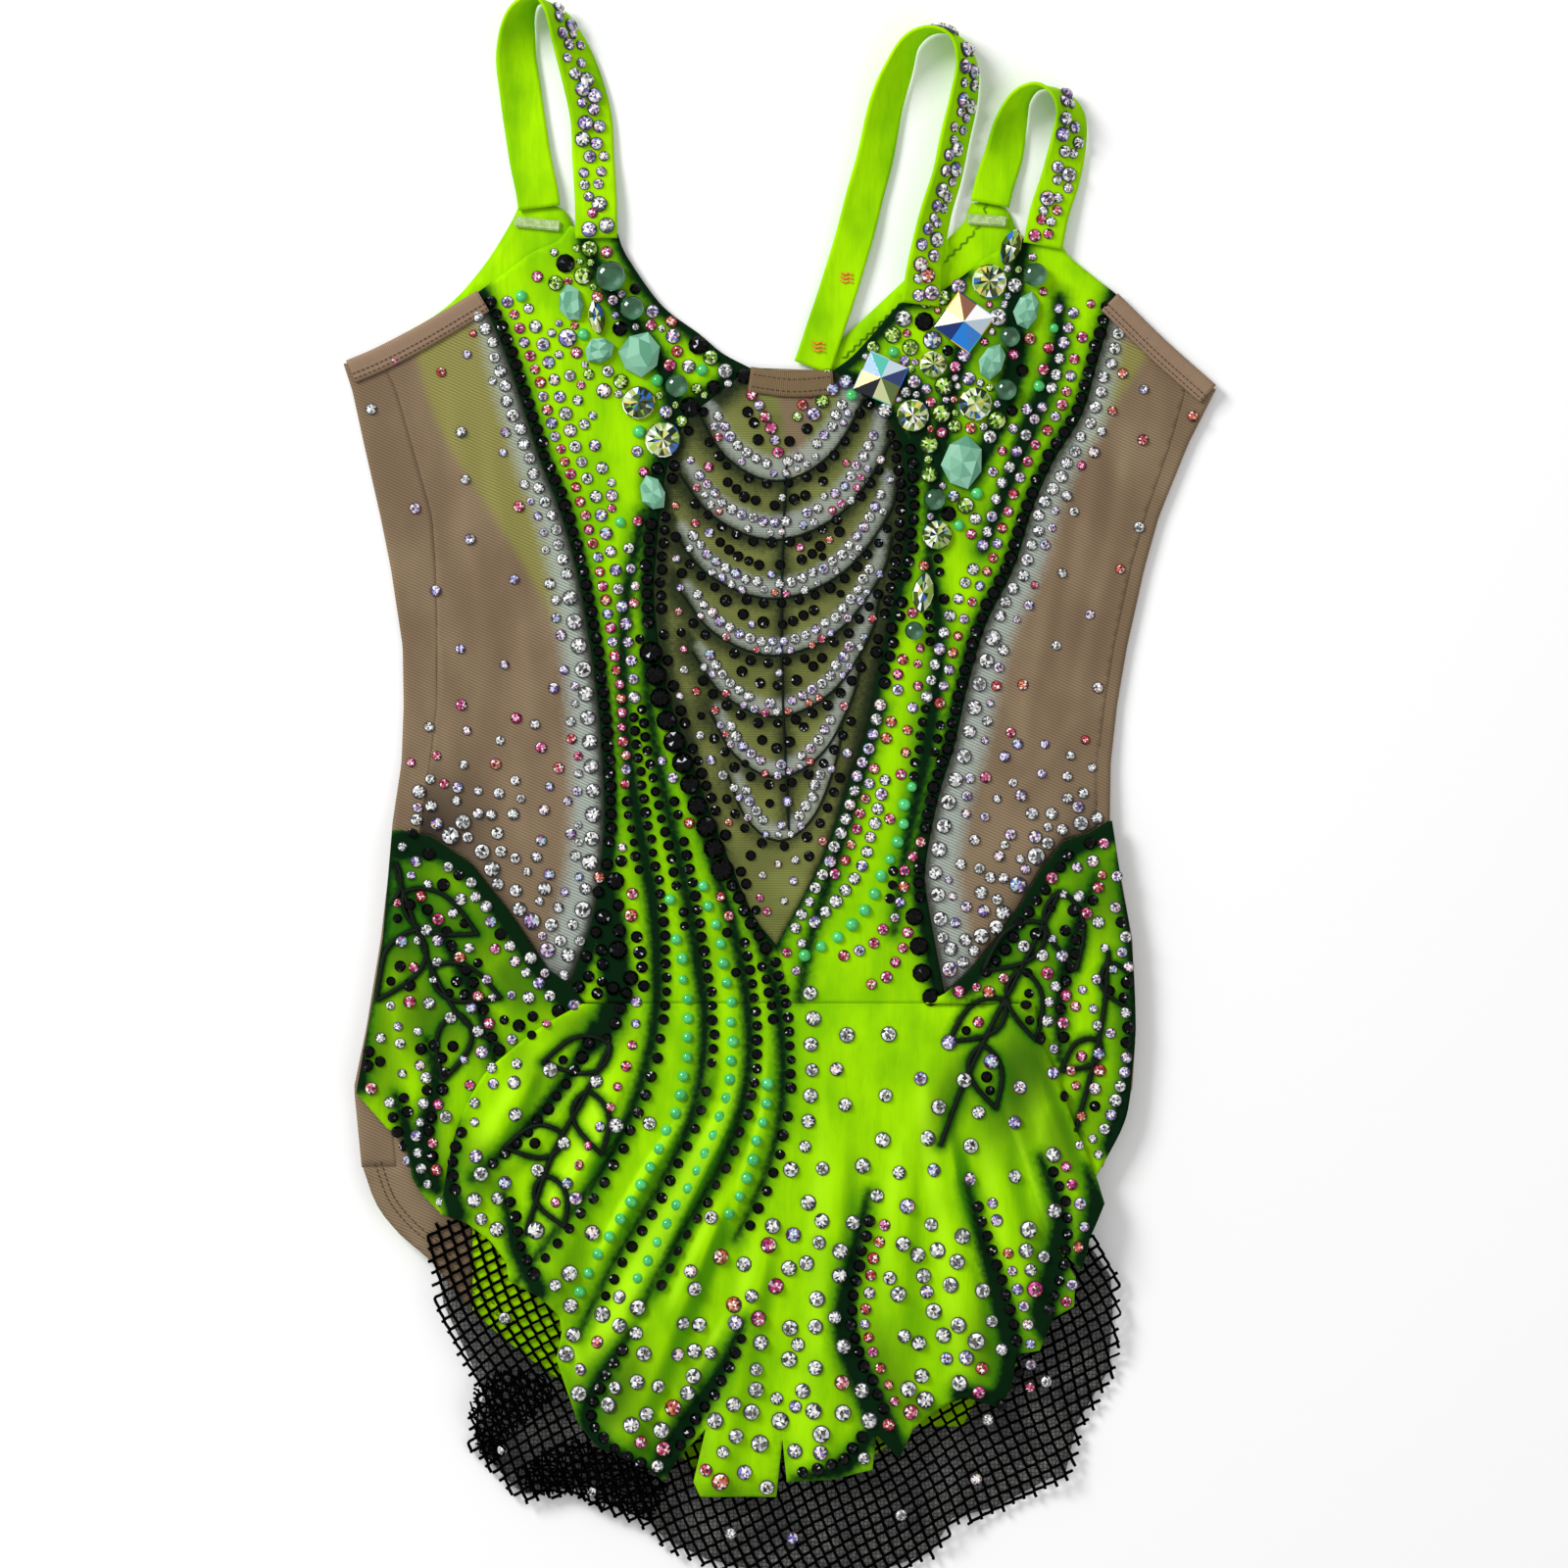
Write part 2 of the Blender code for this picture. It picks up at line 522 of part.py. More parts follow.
def band(line, width):
    """The outline of a strip that hangs below a line."""
    points = np.array(curve(line, 7.0))
    along = np.gradient(points, axis=0)
    along /= np.linalg.norm(along, axis=1)[:, None]
    lower = points + np.stack([along[:, 1], -along[:, 0]], 1) * width
    return outline(points, lower[::-1])


def make_front():
    cut_cloth("front_velvet_left",
              outline(curve(LEFT_ARM_VELVET), curve(LEFT_NECKLINE), curve(INSET_LEFT),
                      curve(CENTRE_SEAM), [(-78, -86)], curve(LEFT_PRINCESS[::-1])),
              BODY_GRID, front_level, "velvet")
    cut_cloth("front_velvet_right",
              outline(curve(RIGHT_NECKLINE), curve(RIGHT_ARM_VELVET), curve(RIGHT_PRINCESS),
                      [(55, -86), (2, -86)], curve(CENTRE_SEAM[::-1]), curve(INSET_RIGHT[::-1])),
              BODY_GRID, front_level, "velvet")
    cut_cloth("front_inset", outline(curve(INSET_LEFT), curve(INSET_RIGHT[::-1])),
              BODY_GRID, front_level, "sheer")
    cut_cloth("front_mesh_left",
              outline([(-160, 170.5)], curve(LEFT_ARMHOLE[1:]), curve(LEFT_PRINCESS),
                      line_stretch(-84, -142.6), seam_stretch("left", -19, 170.5)),
              BODY_GRID, front_level, "powernet")
    cut_cloth("front_mesh_right",
              outline(curve(RIGHT_ARMHOLE[:3]), seam_stretch("right", 162.5, -15),
                      line_stretch(122.8, 63), curve(RIGHT_PRINCESS[::-1])),
              BODY_GRID, front_level, "powernet")


def make_back():
    body_side("left", -1)
    body_side("right", 1)
    back_leg_left = [(x + 2, y) for x, y in LEFT_LEG[1:]]
    back_leg_right = [(x - 2, y) for x, y in RIGHT_LEG[:-1]]
    cut_cloth("back_velvet",
              outline(back_seam("left"), curve([BACK_SEAMS["left"][-1], *back_leg_left], 24.0),
                      curve([*back_leg_right, BACK_SEAMS["right"][-1]], 24.0),
                      back_seam("right")[::-1], curve(BACK_TOP[::-1], 16.0)),
              BODY_GRID, back_level, "velvet")


def make_brief():
    left_x, right_x = BRIEF_SIDE_SEAM_LEFT, BRIEF_SIDE_SEAM_RIGHT
    left_leg, right_leg = curve(LEFT_LEG, 12.0), curve(RIGHT_LEG, 12.0)
    left_side = [p for p in left_leg if p[0] < left_x - 2]
    left_inner = [p for p in left_leg if p[0] > left_x + 2]
    right_inner = [p for p in right_leg if p[0] < right_x - 2]
    right_side = [p for p in right_leg if p[0] > right_x + 2]
    leg_at_left = (left_x, float(np.interp(left_x, *np.array(left_leg).T)))
    leg_at_right = (right_x, float(np.interp(right_x, *np.array(right_leg).T)))
    cut_cloth("brief_left",
              outline(seam_stretch("left", -19, -150), left_side, [leg_at_left],
                      line_stretch(left_x, -142.6)),
              BODY_GRID, front_level, "powernet")
    cut_cloth("brief_front",
              outline([leg_at_left], left_inner, right_inner, [leg_at_right],
                      line_stretch(right_x, left_x)),
              BODY_GRID, front_level, "velvet")
    cut_cloth("brief_right",
              outline([leg_at_right], right_side, seam_stretch("right", -150, -15),
                      line_stretch(122.8, right_x)),
              BODY_GRID, front_level, "powernet")


def make_skirt():
    cut_cloth("hip_left",
              outline([(-153.5, -19.5), (-157, -60), (-161, -85)], LEFT_HIP_HEM, curve(LEFT_HIP_EDGE),
                      line_stretch(-78, -153.5)),
              BODY_GRID, hip_level, "velvet")
    cut_cloth("hip_right",
              outline(curve(RIGHT_HIP_EDGE), curve(RIGHT_HIP_SIDE), line_stretch(128.5, 55)),
              BODY_GRID, hip_level, "velvet")
    cut_cloth("skirt_front", SKIRT, SKIRT_GRID, skirt_level, "velvet")
    net = outline(NET_HEM, NET_TOP)
    cut_cloth("skirt_net", net, NET_GRID, net_level, "fishnet", NET)
    cut_cloth("skirt_back", BACK_SKIRT, BODY_GRID, back_skirt_level, "velvet")
    cut_cloth("skirt_tulle", inset(net, TULLE_SHORT_BY), TULLE_GRID, tulle_level, "tulle", NET)


def make_bindings():
    cut_cloth("arm_binding_left", band(LEFT_ARMHOLE, ARM_BINDING_WIDTH), BODY_GRID, on_front_level, "elastic")
    cut_cloth("arm_binding_right", band(RIGHT_ARMHOLE, ARM_BINDING_WIDTH), BODY_GRID, on_front_level,
              "elastic")
    neck = ((-13, 163), (3, 161), (19, 162))
    cut_cloth("neck_binding", band(neck, NECK_BINDING_WIDTH), BODY_GRID, on_front_level, "elastic")


def strap_section(point, along, width):
    """Four points across a strap, turned by its roll."""
    x, y, stand, roll = point
    turn = math.radians(roll)
    tangent = Vector((along[0], along[1], 0)).normalized()
    right = Vector((tangent.y, -tangent.x, 0))
    breadth = right * math.cos(turn) - Vector((0, 0, 1)) * math.sin(turn)
    centre = Vector((x, y, stand + CLOTH / 2 + abs(math.sin(turn)) * width / 2))
    return [centre + breadth * width * t for t in (-0.5, -0.17, 0.17, 0.5)]


def make_straps():
    for name, rows in STRAPS.items():
        line = np.array(curve(rows, 4.5))
        along = np.gradient(line[:, :2], axis=0)
        width = STRAP_WIDTH * STRAP_NARROWING[name]
        sections = [strap_section(p, a, width) for p, a in zip(line, along)]
        loft(name, sections, "velvet")
    for name, (x, y, turn, length) in STRAP_ENDS.items():
        bm = bmesh.new()
        bmesh.ops.create_cube(bm, size=1.0)
        bmesh.ops.scale(bm, vec=(length, 4.0, 1.6), verts=bm.verts)
        bmesh.ops.bevel(bm, geom=list(bm.edges), offset=0.5, segments=2, affect="EDGES")
        place(bm, x, y, CLOTH + SEAM_GAP + 0.8, turn)
        new_object(name, bm, "elastic")


def place(bm, x, y, z, turn):
    """Turns a shape about +Z and moves it to its place in the plan."""
    cosine, sine = math.cos(math.radians(turn)), math.sin(math.radians(turn))
    for v in bm.verts:
        v.co = Vector((x + v.co.x * cosine - v.co.y * sine, y + v.co.x * sine + v.co.y * cosine, z + v.co.z))


def cut_ring(bm, count, radius_x, radius_y, z, start=0.0, power=1.0):
    """A ring of a stone's corners; a power above 1 draws its two ends out to points."""
    ring = []
    for i in range(count):
        turn = math.tau * (i + start) / count
        narrow = abs(math.sin(turn)) ** (power - 1.0) if power > 1.0 else 1.0
        ring.append(bm.verts.new((radius_x * math.cos(turn), radius_y * math.sin(turn) * narrow, z)))
    return ring


def faceted(rings, top):
    """A stone from its rings, lowest first: flat under, flat or pointed on top."""
    bm = bmesh.new()
    made = [cut_ring(bm, *ring) for ring in rings]
    bm.faces.new(made[0][::-1])
    for lower, upper in zip(made, made[1:]):
        for i in range(len(lower)):
            j = (i + 1) % len(lower)
            bm.faces.new((lower[i], lower[j], upper[j], upper[i]))
    if top is None:
        bm.faces.new(made[-1])
    else:
        peak = bm.verts.new((0, 0, top))
        for i, corner in enumerate(made[-1]):
            bm.faces.new((corner, made[-1][(i + 1) % len(made[-1])], peak))
    return bm


def square_stone(length, width):
    a, b = length * math.sqrt(0.5), width * math.sqrt(0.5)
    return faceted([(4, a, b, 0.0, 0.5), (4, a, b, 1.6, 0.5)], 5.2)


def rivoli_stone(length, width):
    a, b = length / 2, width / 2
    return faceted([(16, a, b, 0.0), (16, a, b, 1.5)], 4.2)


def shield_stone(length, width):
    a, b = length / 2, width / 2
    return faceted([(7, a, b, 0.0), (7, a, b, 1.7), (7, a * 0.62, b * 0.62, 3.4)], None)


def navette_stone(length, width):
    a, b = length / 2, width / 2
    return faceted([(12, a, b, 0.0, 0.0, 1.5), (12, a, b, 1.5, 0.0, 1.5),
                    (12, a * 0.55, b * 0.5, 3.6, 0.0, 1.5)], None)


def bead_stone(length, width):
    a, b = length / 2, width / 2
    return faceted([(12, a * 0.8, b * 0.8, 0.0), (12, a, b, 1.6), (12, a * 0.87, b * 0.87, 3.8),
                    (12, a * 0.5, b * 0.5, 5.2)], 5.8)


STONE_SHAPES = {"square": square_stone, "rivoli": rivoli_stone, "shield": shield_stone,
                "navette": navette_stone, "bead": bead_stone}
STONE_FINISH = {"square": "crystal", "rivoli": "crystal", "shield": "opal", "navette": "crystal",
                "bead": "bead"}


def make_stones():
    counts = {}
    for shape, x, y, length, width, turn in STONES:
        counts[shape] = counts.get(shape, 0) + 1
        reach = np.linspace(-0.55, 0.55, 5)
        around_x, around_y = np.meshgrid(x + reach * length, y + reach * length)
        seat = float(np.max(front_level(around_x, around_y))) + CLOTH / 2 + SEAM_GAP
        bm = STONE_SHAPES[shape](length, width)
        place(bm, x, y, seat, turn)
        new_object(f"{shape}_stone_{counts[shape]}", bm, STONE_FINISH[shape])


def main():
    clear_scene()
    collection = bpy.data.collections.new("leotard")
    bpy.context.scene.collection.children.link(collection)
    make_back()
    make_brief()
    make_front()
    make_skirt()
    make_bindings()
    make_straps()
    make_stones()


main()
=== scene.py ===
import math
import bpy
import numpy as np
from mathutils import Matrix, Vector
from mathutils.geometry import delaunay_2d_cdt


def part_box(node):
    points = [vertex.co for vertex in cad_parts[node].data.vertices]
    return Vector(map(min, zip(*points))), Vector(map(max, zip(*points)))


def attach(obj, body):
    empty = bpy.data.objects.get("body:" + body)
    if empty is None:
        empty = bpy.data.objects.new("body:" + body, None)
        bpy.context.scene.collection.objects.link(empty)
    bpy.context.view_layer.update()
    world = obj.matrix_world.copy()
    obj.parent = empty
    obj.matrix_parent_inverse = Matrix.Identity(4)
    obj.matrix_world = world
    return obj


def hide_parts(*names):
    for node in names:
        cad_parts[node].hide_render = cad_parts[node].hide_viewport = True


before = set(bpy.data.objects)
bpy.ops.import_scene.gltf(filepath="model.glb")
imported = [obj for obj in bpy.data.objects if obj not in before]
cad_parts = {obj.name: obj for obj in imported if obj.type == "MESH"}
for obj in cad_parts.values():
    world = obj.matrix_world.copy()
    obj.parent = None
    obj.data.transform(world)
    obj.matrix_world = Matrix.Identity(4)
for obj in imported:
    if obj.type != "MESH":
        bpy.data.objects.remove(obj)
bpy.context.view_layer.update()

# Everything below is drawn in a plan in millimetres, X across the garment and Y to the shoulders.
# The frame's origin lies here in that plan.
planShift = (1.7, 2.6)


def toFrame(x, y, z):
    return np.stack([(np.asarray(x) + planShift[0]) / 1000, (np.asarray(y) + planShift[1]) / 1000,
                     np.asarray(z) / 1000 + 0 * np.asarray(x)], -1)


# The cut and the levels are in millimetres of the plan, with z up from the floor.

cut = {
    "cloth": 1.2, "net": 1.0, "layer": 1.5, "gap": 0.3, "fold": 1.2, "underSkirt": 2.8,
    # y, left fold, left seam, right seam, right fold
    "body": ((170, -174.0, -160.0, 162.0, 173.0), (155, -169.0, -152.5, 158.0, 169.0),
             (134, -164.4, -146.5, 152.0, 158.3), (105, -157.8, -138.3, 142.0, 146.6),
             (85, -153.8, -136.8, 136.3, 141.0), (54, -149.1, -136.0, 129.6, 134.1),
             (31, -148.7, -136.0, 126.0, 130.2), (8, -149.5, -139.0, 123.2, 127.6),
             (-15, -152.9, -142.5, 122.8, 127.2), (-38, -154.8, -144.0, 127.2, 131.8),
             (-61, -157.5, -146.0, 131.4, 136.0), (-96, -163.2, -151.0, 133.0, 137.4),
             (-119, -168.0, -155.0, 131.4, 136.0), (-150, -165.0, -152.0, 120.0, 124.4),
             (-165, -160.0, -147.0, 112.0, 116.4)),
    "leftPrincess": ((-120, 193), (-109.5, 169), (-96.4, 129), (-88, 107), (-81.8, 85), (-78, 65),
                     (-74.5, 43), (-71.7, 15), (-70.7, -18), (-74.5, -50), (-80.7, -69), (-84, -78)),
    "rightPrincess": ((130.6, 192), (122.9, 165), (117, 145), (106, 127), (97.6, 108), (90.3, 85),
                      (79.1, 62), (71.8, 37), (66.9, 15), (60.7, -5), (55.5, -32), (56.5, -47), (63, -82)),
    "insetLeft": ((-13.4, 163.3), (-25, 153.7), (-38.4, 142), (-46.1, 123), (-50, 92), (-50.7, 69),
                  (-46.1, 38), (-38.4, 15), (-28.8, -11.5), (-21, -31), (-11.5, -52), (-3, -63)),
    "insetRight": ((19.2, 162.2), (30.7, 153.7), (44.2, 138), (48, 115), (46.9, 92), (42.3, 69),
                   (36.5, 42), (32.7, 23), (25, 0), (17.3, -23), (9.6, -40), (-3, -63)),
    "centreSeam": ((-3, -63), (0, -74), (2, -86)),
    "leftNeckline": ((-65.3, 216), (-61.9, 207.5), (-51.5, 192), (-44.2, 184.4), (-33.4, 176.7),
                     (-24.2, 169), (-13.4, 163.3)),
    "rightNeckline": ((19.2, 162.2), (27, 168), (38, 180), (47, 189.5), (60, 192.5), (71, 200),
                      (80, 207), (94, 214)),
    "leftArmVelvet": ((-120, 193), (-109, 201), (-99, 208.5), (-89, 213), (-84, 219)),
    "rightArmVelvet": ((108, 215), (111, 208), (120.3, 200), (130.6, 192)),
    "leftArmhole": ((-171.5, 165.5), (-160, 170.5), (-143, 179.4), (-120, 193)),
    "rightArmhole": ((130.6, 192), (138.3, 184.4), (150, 173), (169, 156)),
    "skirtLine": ((-180, -19), (-149.8, -18), (-138.3, -20.4), (-122.9, -30.7), (-115.3, -40.3),
                  (-107.6, -50), (-99.9, -61.5), (-92.2, -73), (-84, -78), (-78, -86), (2, -86),
                  (55, -86), (63, -82), (73, -73), (82.6, -61.5), (92.2, -48), (99.9, -34.6),
                  (109.5, -22.3), (119.1, -19.2), (126.8, -14.5), (180, -13)),
    "leftLeg": ((-165, -150), (-159.4, -165), (-150.2, -176.7), (-138.3, -187), (-126, -202),
                (-110, -217), (-88, -233), (-60, -248), (-34, -257)),
    "rightLeg": ((18, -257), (46, -243), (74, -221), (96, -196), (112, -171), (124.4, -150)),
    "backLeft": ((-148, 176), (-136, 138), (-110, 96), (-90, 60), (-80, 30), (-78, 0), (-86, -40),
                 (-106, -80), (-130, -115), (-150, -150)),
    "backRight": ((146, 171), (126, 140), (100, 100), (84, 60), (74, 30), (74, 0), (80, -40),
                  (90, -80), (100, -115), (110, -150)),
    "backTop": ((-148, 176), (-131, 188.6), (-121, 199.4), (-113.7, 209.4), (-106.4, 221.7), (-104, 227),
                (-86, 225), (-80, 205), (-66, 172), (-46, 146), (-24, 136), (-4, 143), (7.7, 157),
                (19.2, 171), (38, 189), (56, 206), (71, 221), (73.5, 228), (87, 226), (93, 214),
                (108, 198), (126, 184), (146, 171)),
    "skirtHem": ((-134.5, -168), (-124.5, -171.4), (-115, -178.7), (-108.7, -187), (-107.6, -194.4),
                 (-95.3, -200.6), (-88, -208), (-86.8, -214), (-89.1, -225), (-85.3, -236.3),
                 (-80.7, -249.7), (-73, -259.3), (-63.4, -262), (-54.9, -266.6), (-47.3, -272.8),
                 (-41.5, -264.3), (-30.4, -252), (-35.3, -272.8), (-32.7, -278.5), (-3, -278.9),
                 (-0.6, -256), (1.2, -273), (20, -271.6), (34.6, -268), (36.1, -254), (45, -263.9),
                 (50.3, -252), (63.4, -242.4), (71.8, -239.7), (84.5, -244), (89.1, -234.7),
                 (91.1, -222.8), (99.9, -221.3), (104.9, -209), (113.3, -204.4), (114.1, -193),
                 (106, -180), (116.4, -190.2), (119.5, -177), (125.2, -164)),
    "skirtLeftEdge": ((-79, -86), (-95, -95), (-108, -105), (-119, -116), (-129, -138), (-134.5, -168)),
    "skirtRightEdge": ((125.2, -164), (121, -151), (114, -135), (107, -115), (100, -98), (98, -86)),
    "leftHipHem": ((-167.5, -121), (-155.2, -135), (-149.1, -138.3), (-146.8, -147), (-145.6, -154.4),
                   (-141.8, -160.6), (-134.5, -168), (-127, -166)),
    "leftHipEdge": ((-127, -166), (-121, -144), (-111, -124), (-98, -108), (-84, -95), (-78, -86)),
    "rightHipEdge": ((93, -86), (96, -104), (105, -126), (113, -146), (119, -158)),
    "rightHipSide": ((119, -158), (127, -145), (134, -130), (136.4, -112), (137.6, -92), (136, -62),
                     (132, -38), (128.5, -15)),
    "netHem": ((-137.9, -171.5), (-140.6, -179), (-139.5, -191), (-136.8, -205.5), (-126, -228.6),
               (-121, -238.6), (-124.5, -250), (-123.3, -262), (-108.7, -278), (-101.4, -282),
               (-83, -279.7), (-70.7, -286), (-56.1, -291), (-48.8, -299), (-31.5, -307.4), (-12, -312),
               (14, -313), (42, -311), (60, -304), (68, -291), (84.1, -287), (106, -275.5),
               (113.3, -272.8), (118.3, -252), (130.6, -231.3), (132.5, -208), (131.4, -192), (122, -178)),
    "netTop": ((122, -178), (108, -162), (80, -136), (46, -118), (2, -110), (-44, -114), (-84, -124),
               (-104, -138), (-115, -154), (-124.5, -170), (-137.9, -171.5)),
    "backSkirtHem": ((-152, -120), (-148, -150), (-134, -160), (-124, -184), (-112, -192), (-110, -208),
                     (-96, -214), (-92, -232), (-76, -238), (-72, -254), (-48, -256), (-36, -268),
                     (-8, -264), (10, -258), (34, -264), (52, -252), (70, -252), (78, -236), (90, -232),
                     (96, -212), (108, -200), (114, -170), (122, -140)),
    "backSkirtTop": ((122, -28), (86, -60), (60, -90), (2, -90), (-80, -90), (-112, -50), (-146, -28)),
}

# from, to, half width and height of the deep folds, which the solids have too
deepFolds = {
    "skirt": ((-92, -100, -128, -168, 6.5, 2.6), (-60, -104, -96, -206, 8.0, 3.2),
              (-11, -112, -64, -216, 6.5, 5.0), (-18, -150, -60, -250, 7.0, 4.2),
              (-4, -166, -28, -272, 7.5, 3.0), (24, -124, 14, -266, 9.0, 3.0),
              (50, -126, 40, -248, 9.0, 3.2), (56, -112, 78, -236, 8.5, 4.2),
              (80, -130, 99, -218, 8.5, 3.4), (92, -98, 120, -178, 7.0, 3.9)),
    "net": ((-134, -238, -64, -279, 6.5, 3.6), (-108, -226, -98, -282, 6.5, 2.2),
            (-30, -272, -36, -308, 7.0, 2.6), (16, -272, 20, -314, 7.0, 2.2),
            (58, -252, 68, -298, 7.0, 3.0), (94, -226, 110, -274, 7.0, 2.6),
            (116, -196, 134, -218, 6.5, 2.6)),
}

# finer creases: their line, half width and height
creases = {
    "body": (
        (((-132, 168), (-126, 120), (-118, 70), (-112, 20)), 3.8, 0.9),
        (((-118, 150), (-112, 110), (-101, 60), (-96, 5)), 3.0, 0.8),
        (((-140, 60), (-132, 30), (-128, -10)), 3.2, 0.6),
        (((-128, -5), (-112, -14), (-92, -30)), 3.0, 0.35),
        (((126, 170), (122, 120), (112, 60), (108, 20)), 3.6, 1.2),
        (((138, 150), (131, 100), (119, 50), (114, 10)), 3.0, 1.1),
        (((112, 118), (104, 70), (96, 30), (90, -20)), 3.0, 0.9),
        (((118, 30), (100, 4), (82, -10)), 3.0, 0.7),
        (((-98, 190), (-88, 165), (-84, 140)), 4.0, 0.4),
        (((-60, 90), (-62, 50), (-60, 10), (-62, -40)), 3.2, 0.5),
        (((60, 60), (54, 20), (46, -30), (36, -70)), 3.4, 0.5),
        (((-30, 120), (0, 112), (30, 122)), 5.0, 0.35),
        (((-34, 60), (-6, 50), (26, 58)), 4.5, 0.35),
    ),
    "skirt": (
        (((-26, -92), (-33, -122), (-52, -150), (-70, -182), (-78, -206)), 2.6, 2.1),
        (((-16, -96), (-20, -126), (-34, -156), (-47, -186), (-52, -210)), 2.4, 1.7),
        (((-48, -96), (-60, -126), (-80, -150), (-98, -176)), 3.0, 1.3),
        (((-6, -98), (-7, -128), (-16, -156), (-22, -182)), 2.8, 1.2),
        (((-44, -196), (-56, -218), (-66, -240), (-72, -256)), 3.4, 1.8),
        (((-20, -206), (-31, -228), (-44, -246), (-52, -262)), 3.2, 1.5),
        (((34, -150), (30, -190), (34, -222), (42, -250)), 3.4, 1.6),
        (((64, -130), (70, -166), (82, -198), (90, -226)), 3.0, 1.9),
        (((84, -112), (96, -146), (106, -176), (112, -196)), 2.8, 1.8),
        (((56, -100), (58, -140), (60, -176)), 4.5, 0.9),
        (((20, -100), (16, -150), (10, -200)), 5.5, 0.8),
        (((-70, -100), (-84, -124), (-104, -146), (-120, -160)), 2.8, 1.3),
        (((-88, -204), (-78, -228), (-74, -246)), 2.8, 1.3),
    ),
    "hip": (
        (((-140, -30), (-128, -70), (-122, -120)), 5.0, 0.8),
        (((-152, -60), (-150, -96), (-156, -122)), 3.4, 0.9),
        (((-110, -60), (-100, -84), (-86, -92)), 4.0, 0.6),
        (((-134, -120), (-132, -144), (-138, -160)), 3.0, 1.0),
        (((112, -30), (114, -70), (122, -120)), 4.0, 0.8),
        (((100, -60), (108, -100), (118, -136)), 3.4, 0.9),
    ),
    "net": (
        (((-128, -244), (-112, -256), (-92, -262), (-76, -274)), 3.2, 1.8),
        (((-118, -262), (-100, -266), (-84, -276)), 2.8, 1.6),
        (((-40, -285), (-30, -300)), 3.0, 1.0),
        (((100, -240), (112, -262)), 3.2, 1.0),
        (((40, -275), (50, -305)), 3.6, 1.0),
    ),
}


def ramp(t):
    t = np.clip(t, 0, 1)
    return t * t * (3 - 2 * t)


def smoothLine(points, step=3.0):
    # a curve through the points, with a vertex about every step
    points = [np.array(p, float) for p in points]
    ends = [2 * points[0] - points[1], *points, 2 * points[-1] - points[-2]]
    line = []
    for a, b, c, d in zip(ends, ends[1:], ends[2:], ends[3:]):
        count = max(1, round(float(np.linalg.norm((c - b)[:2])) / step))
        for t in np.arange(count) / count:
            line.append(0.5 * (2 * b + (c - a) * t + (2 * a - 5 * b + 4 * c - d) * t * t
                               + (3 * b - a - 3 * c + d) * t ** 3))
    return np.array([*line, points[-1]])


def closedLine(*stretches):
    # one closed outline, counterclockwise, from stretches that follow each other
    points = []
    for stretch in stretches:
        for p in stretch:
            if not points or np.hypot(*(np.array(p, float)[:2] - points[-1])) > 0.35:
                points.append(np.array(p, float)[:2])
    if np.hypot(*(points[0] - points[-1])) < 0.35:
        points.pop()
    xy = np.array(points)
    after = np.roll(xy, -1, axis=0)
    area = np.sum(xy[:, 0] * after[:, 1] - after[:, 0] * xy[:, 1])
    return xy if area > 0 else xy[::-1]


def areaOf(xy):
    after = np.roll(xy, -1, axis=0)
    return abs(np.sum(xy[:, 0] * after[:, 1] - after[:, 0] * xy[:, 1])) / 2


def nearLine(line, x, y):
    # distance to an open line, how far along it from 0 to 1, and on which side of it
    a, b = line[:-1, :2], line[1:, :2]
    lengths = np.linalg.norm(b - a, axis=1)
    before = np.concatenate([[0], np.cumsum(lengths)[:-1]])
    p = np.stack([np.ravel(x), np.ravel(y)], 1)
    away, along, side = np.empty(len(p)), np.empty(len(p)), np.empty(len(p))
    for first in range(0, len(p), 4000):
        part = p[first:first + 4000, None, :]
        t = np.clip(np.sum((part - a) * (b - a), 2) / np.maximum(lengths ** 2, 1e-9), 0, 1)
        off = part - a - t[:, :, None] * (b - a)
        gap = np.linalg.norm(off, axis=2)
        best = np.argmin(gap, axis=1)
        row = np.arange(len(best))
        away[first:first + 4000] = gap[row, best]
        along[first:first + 4000] = (before[best] + t[row, best] * lengths[best]) / lengths.sum()
        d, o = (b - a)[best], off[row, best]
        side[first:first + 4000] = np.sign(d[:, 0] * o[:, 1] - d[:, 1] * o[:, 0])
    return away.reshape(np.shape(x)), along.reshape(np.shape(x)), side.reshape(np.shape(x))


def depthInside(xy, x, y):
    # distance from a closed outline, positive inside
    p = np.stack([np.ravel(x), np.ravel(y)], 1)
    a, b = xy, np.roll(xy, -1, axis=0)
    along = b - a
    run = np.where(np.abs(along[:, 1]) < 1e-9, 1e-9, along[:, 1])
    depth = np.empty(len(p))
    for first in range(0, len(p), 4000):
        part = p[first:first + 4000, None, :]
        t = np.clip(np.sum((part - a) * along, 2) / np.sum(along * along, 1), 0, 1)
        near = np.min(np.linalg.norm(part - a - t[:, :, None] * along, axis=2), axis=1)
        above = (a[:, 1] > part[:, :, 1]) != (b[:, 1] > part[:, :, 1])
        cross = a[:, 0] + (part[:, :, 1] - a[:, 1]) * along[:, 0] / run
        inside = np.sum(above & (part[:, :, 0] < cross), axis=1) % 2 == 1
        depth[first:first + 4000] = np.where(inside, near, -near)
    return depth.reshape(np.shape(x))


bodyRows = np.array(cut["body"], float)[::-1]


def across(column, y):
    return np.interp(y, bodyRows[:, 0], bodyRows[:, column])


